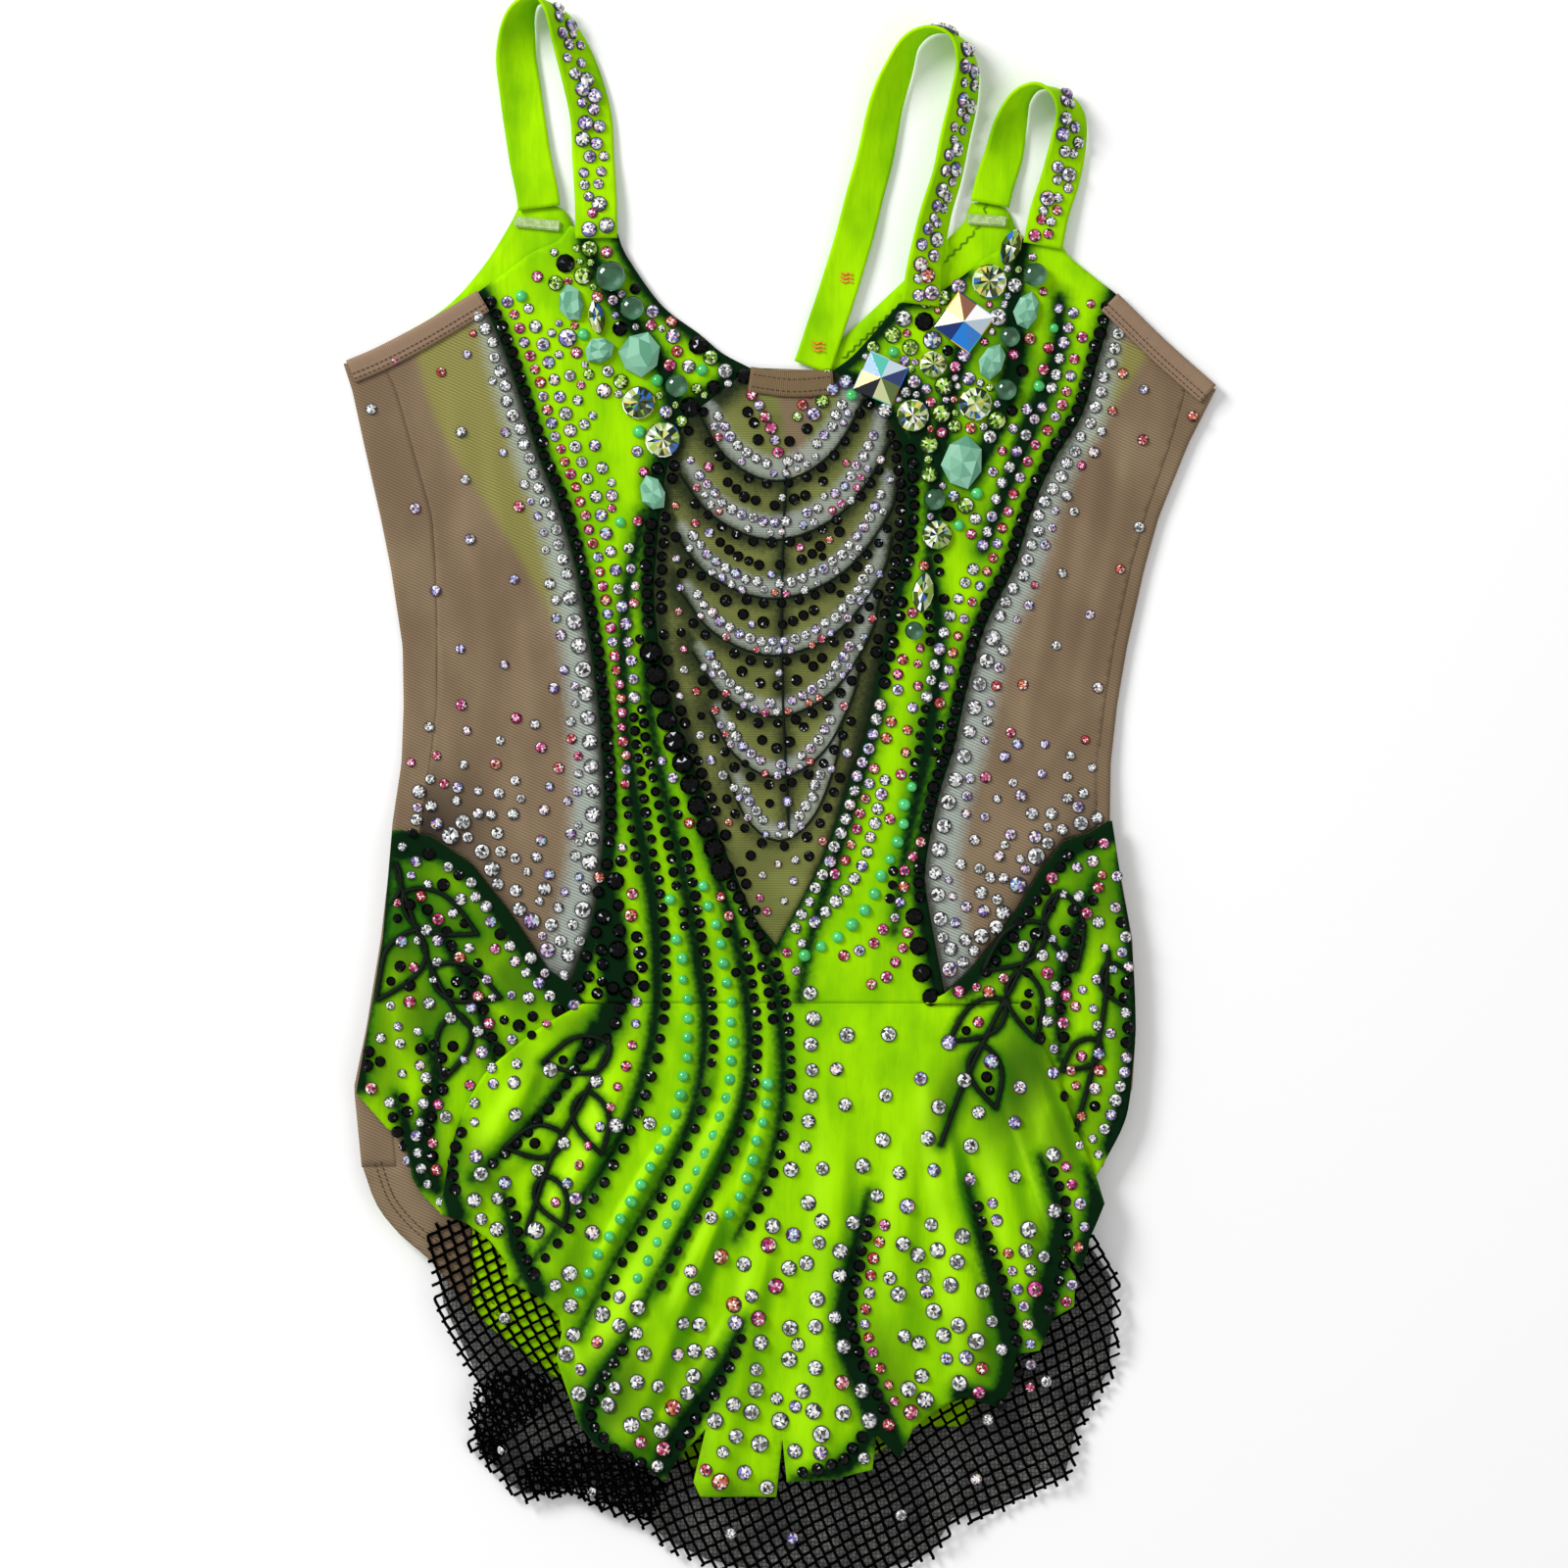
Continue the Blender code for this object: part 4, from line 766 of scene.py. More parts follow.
def lineStretch(xFrom, xTo):
    # the skirt's seam line between two places across the garment
    low, high = sorted((xFrom, xTo))
    inner = [p for p in cut["skirtLine"] if low < p[0] < high]
    points = [(low, float(skirtSeam(low))), *inner, (high, float(skirtSeam(high)))]
    return points if xFrom < xTo else points[::-1]


def seamStretch(column, top, bottom):
    return [(float(across(column, y)), float(y)) for y in np.linspace(top, bottom, 40)]


leftPrincess, rightPrincess, insetLeft, insetRight = (
    smoothLine(cut[name]) for name in ("leftPrincess", "rightPrincess", "insetLeft", "insetRight"))
insetOutline = closedLine(insetLeft, insetRight[::-1])
backOutline = closedLine(smoothLine(cut["backLeft"], 8), [(110, -150)], smoothLine(cut["backRight"], 8)[::-1],
                         [(60, 200), (-60, 200)])
hipLeftOutline = closedLine([(-153.5, -19.5), (-157, -60), (-161, -85)], cut["leftHipHem"],
                            smoothLine(cut["leftHipEdge"]), lineStretch(-78, -153.5))
hipRightOutline = closedLine(smoothLine(cut["rightHipEdge"]), smoothLine(cut["rightHipSide"]),
                             lineStretch(128.5, 55))
bodyOutline = closedLine(seamStretch(1, -150, 166), *(smoothLine(cut[name]) for name in (
    "leftArmhole", "leftArmVelvet", "leftNeckline", "rightNeckline", "rightArmVelvet", "rightArmhole")),
    seamStretch(4, 156, -150))
pieces = {}
# millimetres between the vertices of each sheet
spacing = {"front": 2.0, "under": 4.0, "brief": 3.0, "hip": 1.9, "skirt": 1.5, "tulle": 6.0}


def insideGarment(x, y):
    # how far a point lies inside the garment's outline
    depth = depthInside(bodyOutline, x, y)
    for outline in (skirtOutline, hipLeftOutline, hipRightOutline, netOutline):
        depth = np.maximum(depth, depthInside(outline, x, y))
    return depth


# long grass blades of ink: they rise beside the inset and fan out over the skirt
fanBands = (
    (((-55, 106), (-62, 72), (-63, 32), (-58, -10), (-51, -50), (-50, -88), (-57, -120), (-71, -150),
      (-90, -176), (-104, -194)), (1.6, 2.4, 0.6)),
    (((-51, 78), (-54, 44), (-49, 6), (-40, -34), (-34, -68), (-31, -96), (-35, -126), (-48, -156),
      (-66, -186), (-80, -214)), (1.2, 2.1, 0.5)),
    (((-46, 36), (-38, 4), (-28, -30), (-19, -60), (-14, -90), (-15, -118), (-25, -148), (-42, -178),
      (-57, -206)), (1.6, 1.9, 0.4)),
    (((-25, -26), (-14, -50), (-5, -74), (-1, -98), (-1, -126), (-7, -152), (-19, -178)), (1.6, 1.8, 0.4)),
    (((57, 88), (61, 54), (56, 14), (48, -24), (43, -58)), (2.0, 2.4, 0.5)),
    (((38, 30), (28, -4), (18, -36), (10, -62), (6, -84)), (1.8, 2.0, 1.0)),
)
# line, and half widths at its start, middle and end
inkBands = {
    "velvet": (
        (cut["leftPrincess"], (3.5, 4.8, 5.0)),
        (cut["rightPrincess"], (3.5, 4.8, 5.0)),
        (cut["insetLeft"], (4.5, 5.4, 4.4, 2.4)),
        (cut["insetRight"], (4.5, 3.6, 2.4, 1.0)),
        (cut["leftNeckline"], (2.0, 3.2, 5.0)),
        (cut["rightNeckline"][:6], (3.5, 3.5, 2.0)),
        (((-78, 212), (-68, 192), (-56, 176), (-45, 158), (-44, 140), (-50, 118)), (2.5, 3.2, 3.5)),
        (((94, 212), (90, 190), (91, 168), (84, 142), (73, 120)), (2.5, 4.0, 3.0)),
        (((74, 182), (66, 156), (60, 126), (58, 92)), (3.0, 3.5, 2.5)),
        (((108, 190), (107, 168), (97, 142), (88, 118), (78, 92)), (2.0, 3.6, 1.6)),
        (((42, 160), (52, 150), (52, 122)), (4.0, 5.0, 3.0)),
        (((-71, -30), (-68, -60), (-64, -87)), (2.5, 6.0, 5.0)),
        *fanBands,
    ),
    "skirt": (
        *fanBands,
        (((-74, -94), (-84, -114), (-102, -136), (-122, -154)), (2.0, 2.2, 0.8)),
        (((-60, -214), (-72, -232), (-77, -250), (-64, -263), (-50, -271)), (0.7, 2.8, 2.6)),
        (((-16, -210), (-26, -232), (-38, -250), (-47, -266)), (0.6, 3.2, 4.6)),
        (((33, -160), (26, -190), (24, -214), (32, -236), (42, -260)), (0.6, 4.2, 5.4)),
        (((4, -272), (24, -266), (35, -252)), (0.6, 3.4, 2.4)),
        (((71, -156), (77, -178), (84, -200), (89, -224), (84, -240), (70, -239)), (0.6, 3.8, 4.2)),
        (((100, -146), (108, -168), (106, -188), (101, -206), (104, -214)), (0.8, 4.0, 4.8)),
        (((118, -150), (122, -166), (117, -186)), (0.6, 3.8, 3.4)),
        (((-110, -160), (-104, -182), (-96, -198)), (0.5, 3.0, 3.4)),
        (((-128, -132), (-132, -152), (-128, -168)), (0.5, 3.2, 3.6)),
        (((-66, -84), (-71, -97), (-82, -110)), (5.5, 4.0, 1.0)),
    ),
    "hip": (
        (((-150, -24), (-134, -24), (-118, -36), (-104, -56), (-90, -76), (-78, -88)), (6.0, 6.0, 6.0)),
        (((-158, -28), (-160, -60), (-166, -96), (-166, -118)), (5.0, 4.0, 3.0)),
        (((-146, -42), (-132, -62), (-120, -86), (-112, -112)), (0.8, 2.6, 1.2)),
        (((-140, -100), (-136, -118), (-141, -138), (-136, -158)), (0.8, 3.2, 2.6)),
        (((-152, -122), (-147, -138), (-142, -156)), (1.0, 2.8, 2.4)),
        (((128, -17), (114, -22), (100, -36), (86, -58), (70, -78)), (6.0, 5.0, 5.0)),
        (((134, -30), (138, -70), (137, -110), (128, -142)), (4.0, 3.6, 3.4)),
        (((122, -36), (114, -58), (108, -84), (108, -108)), (0.8, 2.6, 1.0)),
    ),
}
# Soft clouds of thinned ink: middle, half widths, turn and strength.
inkClouds = {
    "velvet": ((-60, 184, 10, 20, 30, 0.45), (-47, 132, 8, 26, 8, 0.6), (84, 176, 16, 22, 20, 0.5),
               (66, 122, 12, 30, -14, 0.6), (-56, 20, 8, 50, 0, 0.25), (54, 10, 7, 56, 6, 0.5),
               (50, 156, 14, 10, 0, 0.4), (-22, -58, 8, 20, 30, 0.2), (104, 150, 6, 34, -22, 0.5)),
    "skirt": ((92, -114, 15, 30, 20, 0.95), (68, -120, 9, 26, 26, 0.75), (108, -142, 8, 20, -14, 0.65),
              (-74, -96, 16, 9, 0, 0.7), (-84, -196, 16, 18, 20, 0.35), (-70, -240, 14, 26, 28, 0.95),
              (-50, -262, 16, 12, -20, 0.8), (-34, -238, 9, 24, 28, 0.6), (36, -232, 12, 26, -10, 0.7),
              (84, -222, 14, 24, 0, 0.75), (106, -188, 11, 26, 0, 0.7), (120, -170, 7, 16, 0, 0.8),
              (-122, -150, 15, 12, 0, 0.65), (-40, -160, 7, 34, 34, 0.2), (92, -130, 12, 18, 20, 0.55),
              (-98, -112, 16, 7, 40, 0.35), (-6, -276, 40, 5, 0, 0.35), (56, -246, 18, 6, 24, 0.7)),
    "hip": ((-148, -50, 22, 34, 0, 0.95), (-126, -56, 26, 18, 40, 0.85), (-104, -78, 18, 12, 40, 0.85),
            (-158, -104, 9, 26, 0, 0.7), (-136, -90, 20, 22, 0, 0.85), (-118, -100, 13, 24, -30, 0.5),
            (-140, -146, 12, 18, 0, 0.6), (124, -40, 17, 24, 0, 0.8), (90, -64, 20, 10, -40, 0.8),
            (134, -90, 7, 36, 0, 0.8), (106, -70, 10, 30, 20, 0.65), (118, -130, 12, 18, 20, 0.6)),
}


def leafSprig(stem, leaves, long, wide, turns=(-38, 32)):
    # an ordinary sprig: closed leaves by turns along a stem, each with its two edges
    line = smoothLine(stem, 2)
    found = [line]
    for number, share in enumerate(leaves):
        at = int(share * (len(line) - 2))
        way = line[at + 1] - line[at]
        angle = math.atan2(way[1], way[0]) + math.radians(turns[number % 2])
        size = long * (1 - 0.3 * share)
        t = np.linspace(0, 1, 15)
        half = wide * np.sin(math.pi * t ** 0.75) * (1 - 0.25 * share)
        bend = size * t * t * turns[number % 2] / 200
        for side in (1, -1):
            off = half * side + bend
            found.append(np.stack([line[at][0] + math.cos(angle) * size * t - math.sin(angle) * off,
                                   line[at][1] + math.sin(angle) * size * t + math.cos(angle) * off], 1))
    return found


sprigs = {
    "hipLeft": leafSprig(((-154, -28), (-147, -48), (-138, -72), (-126, -92), (-112, -102)),
                         (0.02, 0.2, 0.38, 0.56, 0.78), 35, 8.6),
    "skirtLeft": leafSprig(((-68, -102), (-78, -122), (-91, -146), (-101, -176)), (0.02, 0.26, 0.5, 0.74),
                           27, 7.6),
    "skirtRight": leafSprig(((108, -42), (99, -60), (90, -78), (80, -97), (70, -118), (61, -141)),
                            (0.01, 0.13, 0.32, 0.45, 0.63), 31, 7.6, (30, -20)),
    "hipRight": leafSprig(((127, -66), (125, -90), (120, -114), (114, -136)), (0.06, 0.5), 22, 6.0,
                          (26, -30)),
}
leafLines = sum(sprigs.values(), [])
# level, half width and band width of each scallop on the inset
scallops = ((136, 29, 6.5), (113, 37, 6.6), (89, 40, 5.0), (66, 38, 4.0), (42, 33, 4.0), (18, 26, 3.6),
            (-7, 19, 3.4))
outside = -60  # the depth of a point that no ink reaches


def bandDepth(bands, x, y):
    # how deep a point lies in any of the bands, in millimetres, negative outside
    depth = np.full(np.shape(x), float(outside))
    for points, halves in bands:
        away, along, _ = nearLine(smoothLine(points, 5), x, y)
        half = np.interp(along, np.linspace(0, 1, len(halves)), halves)
        depth = np.maximum(depth, half - away)
    return depth


def cloudShare(kind, x, y):
    total = np.zeros(np.shape(x))
    for cx, cy, wide, high, turn, strength in inkClouds[kind]:
        c, d = math.cos(math.radians(turn)), math.sin(math.radians(turn))
        u, v = (x - cx) * c - (y - cy) * d, (x - cx) * d + (y - cy) * c
        total = np.maximum(total, strength * np.exp(-((u / wide) ** 2 + (v / high) ** 2) ** 1.4))
    return total


def slopes(height, x, y, step):
    return ((height(x + step, y) - height(x - step, y)) / (2 * step),
            (height(x, y + step) - height(x, y - step)) / (2 * step))


def velvetPaint(kind, height, lines=()):
    # ink in bands and round the leaves, its haze, and how the folds lean to the lower right, off the light,
    # which the material paints as shade and highlight
    def paint(x, y):
        ink = bandDepth(inkBands[kind], x, y)
        for line in lines:
            ink = np.maximum(ink, 1.6 - 1.7 * nearLine(line, x, y)[0])
        dx, dy = slopes(height, x, y, 0.7)
        return {"ink": ink, "haze": cloudShare(kind, x, y), "lean": -(dx * 0.8 - dy * 0.35)}
    return paint


def skirtPaint(x, y):
    found = velvetPaint("skirt", skirtFolds, sprigs["skirtLeft"] + sprigs["skirtRight"])(x, y)
    # the torn hem is shaded too
    hem = np.minimum(-3.9, -2.6 - depthInside(skirtOutline, x, y) * 0.7)
    # the folds' painted shade and highlight fade out towards the waist seam
    return {"ink": np.maximum(found["ink"], np.where(y < -150, hem, outside)), "haze": found["haze"],
            "lean": found["lean"] * ramp((-88 - y) / 16)}


def meshPaint(x, y):
    left, alongLeft, _ = nearLine(leftPrincess, x, y)
    right, alongRight, _ = nearLine(rightPrincess, x, y)
    band = np.maximum(np.interp(alongLeft, (0, 0.12, 0.5, 1), (2.0, 6.5, 9.5, 12.5)) - left,
                      np.interp(alongRight, (0, 0.12, 0.5, 1), (2.0, 6.5, 9.5, 12.0)) - right)
    # the green back shows through high up, and the mesh is darkened nearly to black in the low corners and
    # just above the skirt seam
    green = ramp((depthInside(backOutline, x, y) + 1) / 5) * ramp((y - 10) / 60)
    corner = np.maximum(ramp((-104 - x) / 36) * ramp((22 - y) / 42),
                        0.5 * ramp((x - 104) / 22) * ramp((8 - y) / 28))
    lowEdge = ramp((skirtSeam(x) - y + 12) / 14)
    return {"silver": band, "ink": np.maximum(2.0 - left, 2.0 - right), "behind": 0.8 * green,
            "coal": np.maximum(corner, 0.75 * lowEdge)}


def scallopLine(y, half):
    return smoothLine(((-half, y + 12), (-half * 0.66, y - 4), (-half * 0.1, y - 12), (half * 0.5, y - 3),
                       (half * 0.92, y + 18), (half * 1.02, y + 32)))


def insetPaint(x, y):
    edge = np.minimum(nearLine(insetLeft, x, y)[0], nearLine(insetRight, x, y)[0])
    ink = np.interp(y, (-50, 20), (-2.6, 3.8)) - edge
    silver = np.full(np.shape(x), float(outside))
    for level, half, wide in scallops:
        away, along, side = nearLine(scallopLine(level, half), x, y)
        taper = np.sin(math.pi * np.clip(along, 0.04, 0.96)) ** 0.4
        silver = np.maximum(silver, wide * 0.62 * taper - away)
        line = np.interp(level, (-10, 50), (-0.6, 1.6)) - np.abs(away - wide * 0.62 - 2.2) * taper
        ink = np.maximum(ink, np.where(side < 0, line, outside))
    middle = 1.4 - np.abs(x - 1 + 2 * np.sin(y / 40))
    ink = np.maximum(ink, np.where((y < 128) & (y > -18), middle, outside))
    bare = ramp((3 + (y - 118) * 0.17 - np.abs(x - 5)) / 3) * ramp((y - 116) / 10)
    return {"ink": np.where(bare > 0.5, outside, ink), "silver": silver, "bare": bare}


def makeFront():
    c, bodyCreases = cut, lambda x, y: creaseHeight("body", x, y)
    centre = smoothLine(c["centreSeam"])
    for key, name, outline, material, paint in (
            ("velvetLeft", "front_velvet_left_cloth",
             closedLine(smoothLine(c["leftArmVelvet"]), smoothLine(c["leftNeckline"]), insetLeft, centre,
                        [(-78, -86)], leftPrincess[::-1]), velvet, velvetPaint("velvet", bodyCreases)),
            ("velvetRight", "front_velvet_right_cloth",
             closedLine(smoothLine(c["rightNeckline"]), smoothLine(c["rightArmVelvet"]), rightPrincess,
                        [(55, -86), (2, -86)], centre[::-1], insetRight[::-1]),
             velvet, velvetPaint("velvet", bodyCreases)),
            ("inset", "front_inset_cloth", insetOutline, sheer, insetPaint),
            ("meshLeft", "front_mesh_left_cloth",
             closedLine([(-160, 170.5)], smoothLine(c["leftArmhole"][1:]), leftPrincess,
                        lineStretch(-84, -142.6), seamStretch(2, -19, 170)), powernet, meshPaint),
            ("meshRight", "front_mesh_right_cloth",
             closedLine(smoothLine(c["rightArmhole"][:3]), seamStretch(3, 162.5, -15), lineStretch(122.8, 63),
                        rightPrincess[::-1]), powernet, meshPaint)):
        pieces[key] = clothPiece(name, outline, frontLevel, material, spacing["front"], paint=paint)


def makeSide(name, side, foldColumn, seamColumn, back, topFold, topSeam):
    # a side piece, round the fold from under the garment to the side seam on the front
    rows, low, fold = 90, -150, cut["fold"]
    backLine = smoothLine(back, 6)[::-1]
    sections = []
    for yFold, ySeam, yBack in zip(np.linspace(topFold, low, rows), np.linspace(topSeam, low, rows),
                                   np.linspace(back[0][1], back[-1][1], rows)):
        seamX = float(across(seamColumn, ySeam)) - side * 0.4
        backX = float(np.interp(yBack, backLine[:, 1], backLine[:, 0]))
        centre = float(across(foldColumn, yFold)) - side * fold
        section = []
        for t in np.linspace(0, 1, 4):
            x, y = backX + (centre - backX) * t, yBack + (yFold - yBack) * t
            section.append((x, y, float(backLevel(x, y))))
        foot = section[-1][2]
        for turn in np.radians((-60, -30, 0, 30, 60)):
            section.append((centre + side * fold * math.cos(turn), yFold, foot + fold * (1 + math.sin(turn))))
        for t in np.linspace(0, 1, 9):
            x, y = centre + (seamX - centre) * t, yFold + (ySeam - yFold) * t
            section.append((x, y, float(smoothFront(x, y))))
        sections.append(section)
    grid = np.array(sections)
    obj = newObject(name, toFrame(*np.moveaxis(grid, 2, 0)).reshape(-1, 3),
                    gridFaces(rows, grid.shape[1], side > 0), powernetPlain)
    width = float(np.mean(np.sum(np.linalg.norm(np.diff(grid, axis=1), axis=2), axis=1))) / 1000
    return thicken(obj, 1.1, (width, 0.325, width * 0.325))


def makeUnder():
    c = cut
    pieces["sideLeft"] = makeSide("side_panel_left", -1, 1, 2, c["backLeft"], 165.0, 171.0)
    pieces["sideRight"] = makeSide("side_panel_right", 1, 4, 3, c["backRight"], 155.0, 163.0)
    legLeft = [(x + 2, y) for x, y in c["leftLeg"][1:]]
    legRight = [(x - 2, y) for x, y in c["rightLeg"][:-1]]
    leftLeg, rightLeg = smoothLine(c["leftLeg"], 5), smoothLine(c["rightLeg"], 5)
    leftX, rightX = -122, 92  # where the brief's front meets its sides
    atLeft = (leftX, float(np.interp(leftX, leftLeg[:, 0], leftLeg[:, 1])))
    atRight = (rightX, float(np.interp(rightX, rightLeg[:, 0], rightLeg[:, 1])))
    for key, name, outline, level, material, space in (
            ("back", "back_velvet_cloth",
             closedLine(smoothLine(c["backLeft"], 8), smoothLine([c["backLeft"][-1], *legLeft], 8),
                        smoothLine([*legRight, c["backRight"][-1]], 8), smoothLine(c["backRight"], 8)[::-1],
                        smoothLine(c["backTop"][::-1], 4)), backLevel, velvetPlain, "under"),
            ("briefLeft", "brief_side_left_cloth",
             closedLine(seamStretch(2, -19, -150), [p for p in leftLeg if p[0] < leftX - 1], [atLeft],
                        lineStretch(leftX, -142.6)), smoothFront, powernetPlain, "brief"),
            ("briefRight", "brief_side_right_cloth",
             closedLine([atRight], [p for p in rightLeg if p[0] > rightX + 1], seamStretch(3, -150, -15),
                        lineStretch(122.8, rightX)), smoothFront, powernetPlain, "brief"),
            ("briefFront", "brief_front_cloth",
             closedLine([atLeft], [p for p in leftLeg if p[0] > leftX + 1],
                        [p for p in rightLeg if p[0] < rightX - 1], [atRight],
                        [(x, y - 9) for x, y in lineStretch(rightX, leftX)]),
             smoothFront, velvetPlain, "under")):
        pieces[key] = clothPiece(name, outline, level, material, spacing[space])


def makeSkirt():
    hipPaint = velvetPaint("hip", lambda x, y: creaseHeight("hip", x, y), leafLines)
    for side, outline in (("left", hipLeftOutline), ("right", hipRightOutline)):
        pieces["hip" + side.title()] = clothPiece("hip_velvet_" + side + "_cloth", outline, hipLevel, velvet,
                                                  spacing["hip"], paint=hipPaint)
    pieces["skirt"] = clothPiece("skirt_velvet_cloth", skirtOutline, skirtLevel, velvet, spacing["skirt"],
                                 paint=skirtPaint)
    pieces["backSkirt"] = clothPiece("skirt_back_velvet_cloth", backSkirtOutline, backSkirtLevel, velvetPlain,
                                     spacing["under"])
    # the tulle's edge stands in from the net's
    way = np.roll(netOutline, -1, axis=0) - np.roll(netOutline, 1, axis=0)
    normal = np.stack([-way[:, 1], way[:, 0]], 1) / np.maximum(1e-6, np.linalg.norm(way, axis=1))[:, None]
    pieces["tulle"] = clothPiece("skirt_tulle_cloth", closedLine(netOutline + normal * 3.4),
                                 lambda x, y: np.full(np.shape(x), 0.5), tulle, spacing["tulle"], 0.9)


print("cloth")
makeUnder()
makeFront()
makeSkirt()


# The fishnet is wavy yarns that touch their neighbours by turns; sizes in millimetres, turn in degrees.
fishnet = {"cell": 5.8, "cellHigh": 7.0, "yarn": 0.64, "turn": -20.0, "sides": 4, "steps": 8}
# parts where the net lies double, with the size of the cells drawn together there, and their turn
netGathers = (
    (((-123, -238), (-112, -229), (-96, -230), (-88, -240), (-98, -248), (-108, -256), (-112, -268),
      (-121, -262), (-122, -250)), 3.9, 6.4, 40),
    (((-106, -270), (-94, -260), (-80, -256), (-60, -266), (-44, -274), (-52, -290), (-70, -284), (-84, -278),
      (-100, -279)), 3.6, 6.0, 58),
)


def netLines(outline, settings, rise=0.0, seed=3):
    # waves run down turned columns; a slow warp keeps the cells from lying too evenly
    rng = np.random.default_rng(seed)
    half, high, steps = settings["cell"] / 2, settings["cellHigh"], settings["steps"]
    turn = math.radians(settings["turn"])
    low, top = outline.min(axis=0) - 8, outline.max(axis=0) + 8
    middle = (low + top) / 2
    reach = float(np.hypot(*(top - low))) / 2
    lines = []
    for number in range(int(-reach / half), int(reach / half) + 1):
        t = np.arange(int(2 * reach / high) * steps + 1) * high / steps - reach
        wave = np.clip((np.abs(((t / high) % 1) * 2 - 1) * 2 - 1) * 1.35, -1, 1)
        s = number * half + half / 2 * 0.96 * wave * (1 if number % 2 else -1)
        x = middle[0] + s * math.cos(turn) + t * math.sin(-turn)
        y = middle[1] + s * math.sin(turn) + t * math.cos(turn)
        x, y = (x + 3.2 * np.sin(y / 31 + x / 57) + 1.4 * np.sin(y / 11.0 + number * 0.05),
                y + 2.6 * np.sin(x / 27 - y / 63) + 0.9 * np.sin(x / 9.5))
        # a torn edge, and nothing far under the skirt
        keep = (depthInside(outline, x, y) > rng.uniform(-0.6, 0.5)) & (depthInside(skirtOutline, x, y) < 15)
        z = netLevel(x, y) + rise + 0.2 * np.cos(t / high * math.tau * 2 + number * math.pi)
        ends = np.flatnonzero(np.diff(np.concatenate([[0], keep, [0]])))
        for first, last in zip(ends[::2], ends[1::2]):
            if last - first > 3:
                lines.append(toFrame(x[first:last], y[first:last], z[first:last]))
    return lines


def makeNet():
    lines = netLines(netOutline, fishnet)
    for key, name, isRight in (("netLeft", "fishnet_left", False), ("netRight", "fishnet_right", True)):
        half = [line for line in lines if (line[:, 0].mean() >= 0.0) == isRight]
        pieces[key] = tubes(name, half, fishnet["yarn"], fishnet["sides"], netYarn)
    more = []
    for number, (points, cell, cellHigh, turn) in enumerate(netGathers):
        settings = {"cell": cell, "cellHigh": cellHigh, "turn": turn, "steps": 6}
        more += netLines(closedLine(points), settings, 1.1, 11 + number)
        more += netLines(closedLine(points), {**settings, "turn": turn - 24}, 1.8, 21 + number)
    pieces["netGather"] = tubes("fishnet_gathers", more, 0.5, 3, netYarn)


print("fishnet")
makeNet()


straps = {
    "width": 16.4,
    # x, y, height of the lower edge, roll about the strap's own line
    "strap_left": (
        (-73.6, 214, 3.0, 0), (-73.8, 229, 2.9, 0), (-74.9, 246, 1.4, 6), (-75.7, 261, 0.7, 14),
        (-79.5, 277, 0.6, 26), (-84.5, 291, 0.6, 44), (-90, 302, 0.6, 68), (-97, 306.6, 0.6, 94),
        (-103, 300, 0.6, 128), (-105, 286, 0.6, 156), (-103.4, 272, 0.6, 170), (-101.5, 258, 0.8, 178),
        (-99.5, 245, 1.4, 180), (-97, 233, 2.2, 180), (-96, 226, 2.2, 180)),
    "strap_centre": (
        (53.4, 188, 3.0, 8), (55.2, 203, 3.0, 24), (59.2, 222.8, 1.2, 38), (63.8, 238.2, 0.7, 42),
        (67, 253.6, 0.6, 42), (70.5, 269, 0.6, 46), (71.5, 282, 0.6, 58), (67, 292, 0.6, 76),
        (58.4, 295, 0.6, 92), (50, 290.5, 0.6, 112), (45, 280, 0.6, 134), (40, 266, 0.6, 150),
        (35.8, 246, 0.7, 160), (31.5, 230, 0.9, 166), (27.7, 215, 1.6, 172), (20.7, 192, 2.1, 180),
        (15.6, 177, 2.0, 180), (12.8, 168.5, 1.6, 180), (11, 163.5, 1.3, 180)),
    "strap_right": (
        (101.4, 211, 3.0, 0), (104, 224, 2.8, 6), (108.5, 238, 1.4, 14), (111.5, 252, 0.7, 28),
        (112, 262, 0.6, 44), (107.5, 269.5, 0.6, 68), (99.9, 272.8, 0.6, 90), (93, 268.5, 0.6, 116),
        (89, 259, 0.6, 142), (86.3, 247, 0.6, 164), (83.4, 238, 1.2, 176), (81.5, 231, 2.2, 180),
        (80.8, 227.5, 2.2, 180)),
    "narrowing": {"strap_left": 1.0, "strap_centre": 0.9, "strap_right": 0.94},
}


def strapGrid(name, step=1.6, count=13):
    # the points of a strap, its length up to each row, their places across it, and its outward side
    line = smoothLine(straps[name], step)
    way = walk(line[:, :2])[1]
    width = straps["width"] * straps["narrowing"][name]
    turn = np.radians(line[:, 3])
    right = np.stack([way[:, 1], -way[:, 0], 0 * turn], 1)
    breadth = right * np.cos(turn)[:, None] - np.array([0, 0, 1.0]) * np.sin(turn)[:, None]
    centre = np.stack([line[:, 0], line[:, 1], line[:, 2] + 0.6 + np.abs(np.sin(turn)) * width / 2], 1)
    share = np.linspace(-0.5, 0.5, count)
    outward = np.cross(np.stack([way[:, 0], way[:, 1], 0 * turn], 1), -breadth)
    outward /= np.linalg.norm(outward, axis=1)[:, None]
    # a strap curls a little across, and its sewn edges stand in by a hair
    length = np.concatenate([[0], np.cumsum(np.linalg.norm(np.diff(centre, axis=0), axis=1))])
    wobble = 0.18 * np.sin(length / 7.0) + 0.12 * np.sin(length / 2.9 + 1.0)
    bow = (0.25 - share ** 2) * 2.4
    grid = centre[:, None, :] + breadth[:, None, :] * (width * share)[None, :, None]
    grid = grid + outward[:, None, :] * (bow[None, :, None] * (0.5 + wobble[:, None, None]))
    return grid, length, width * share, outward


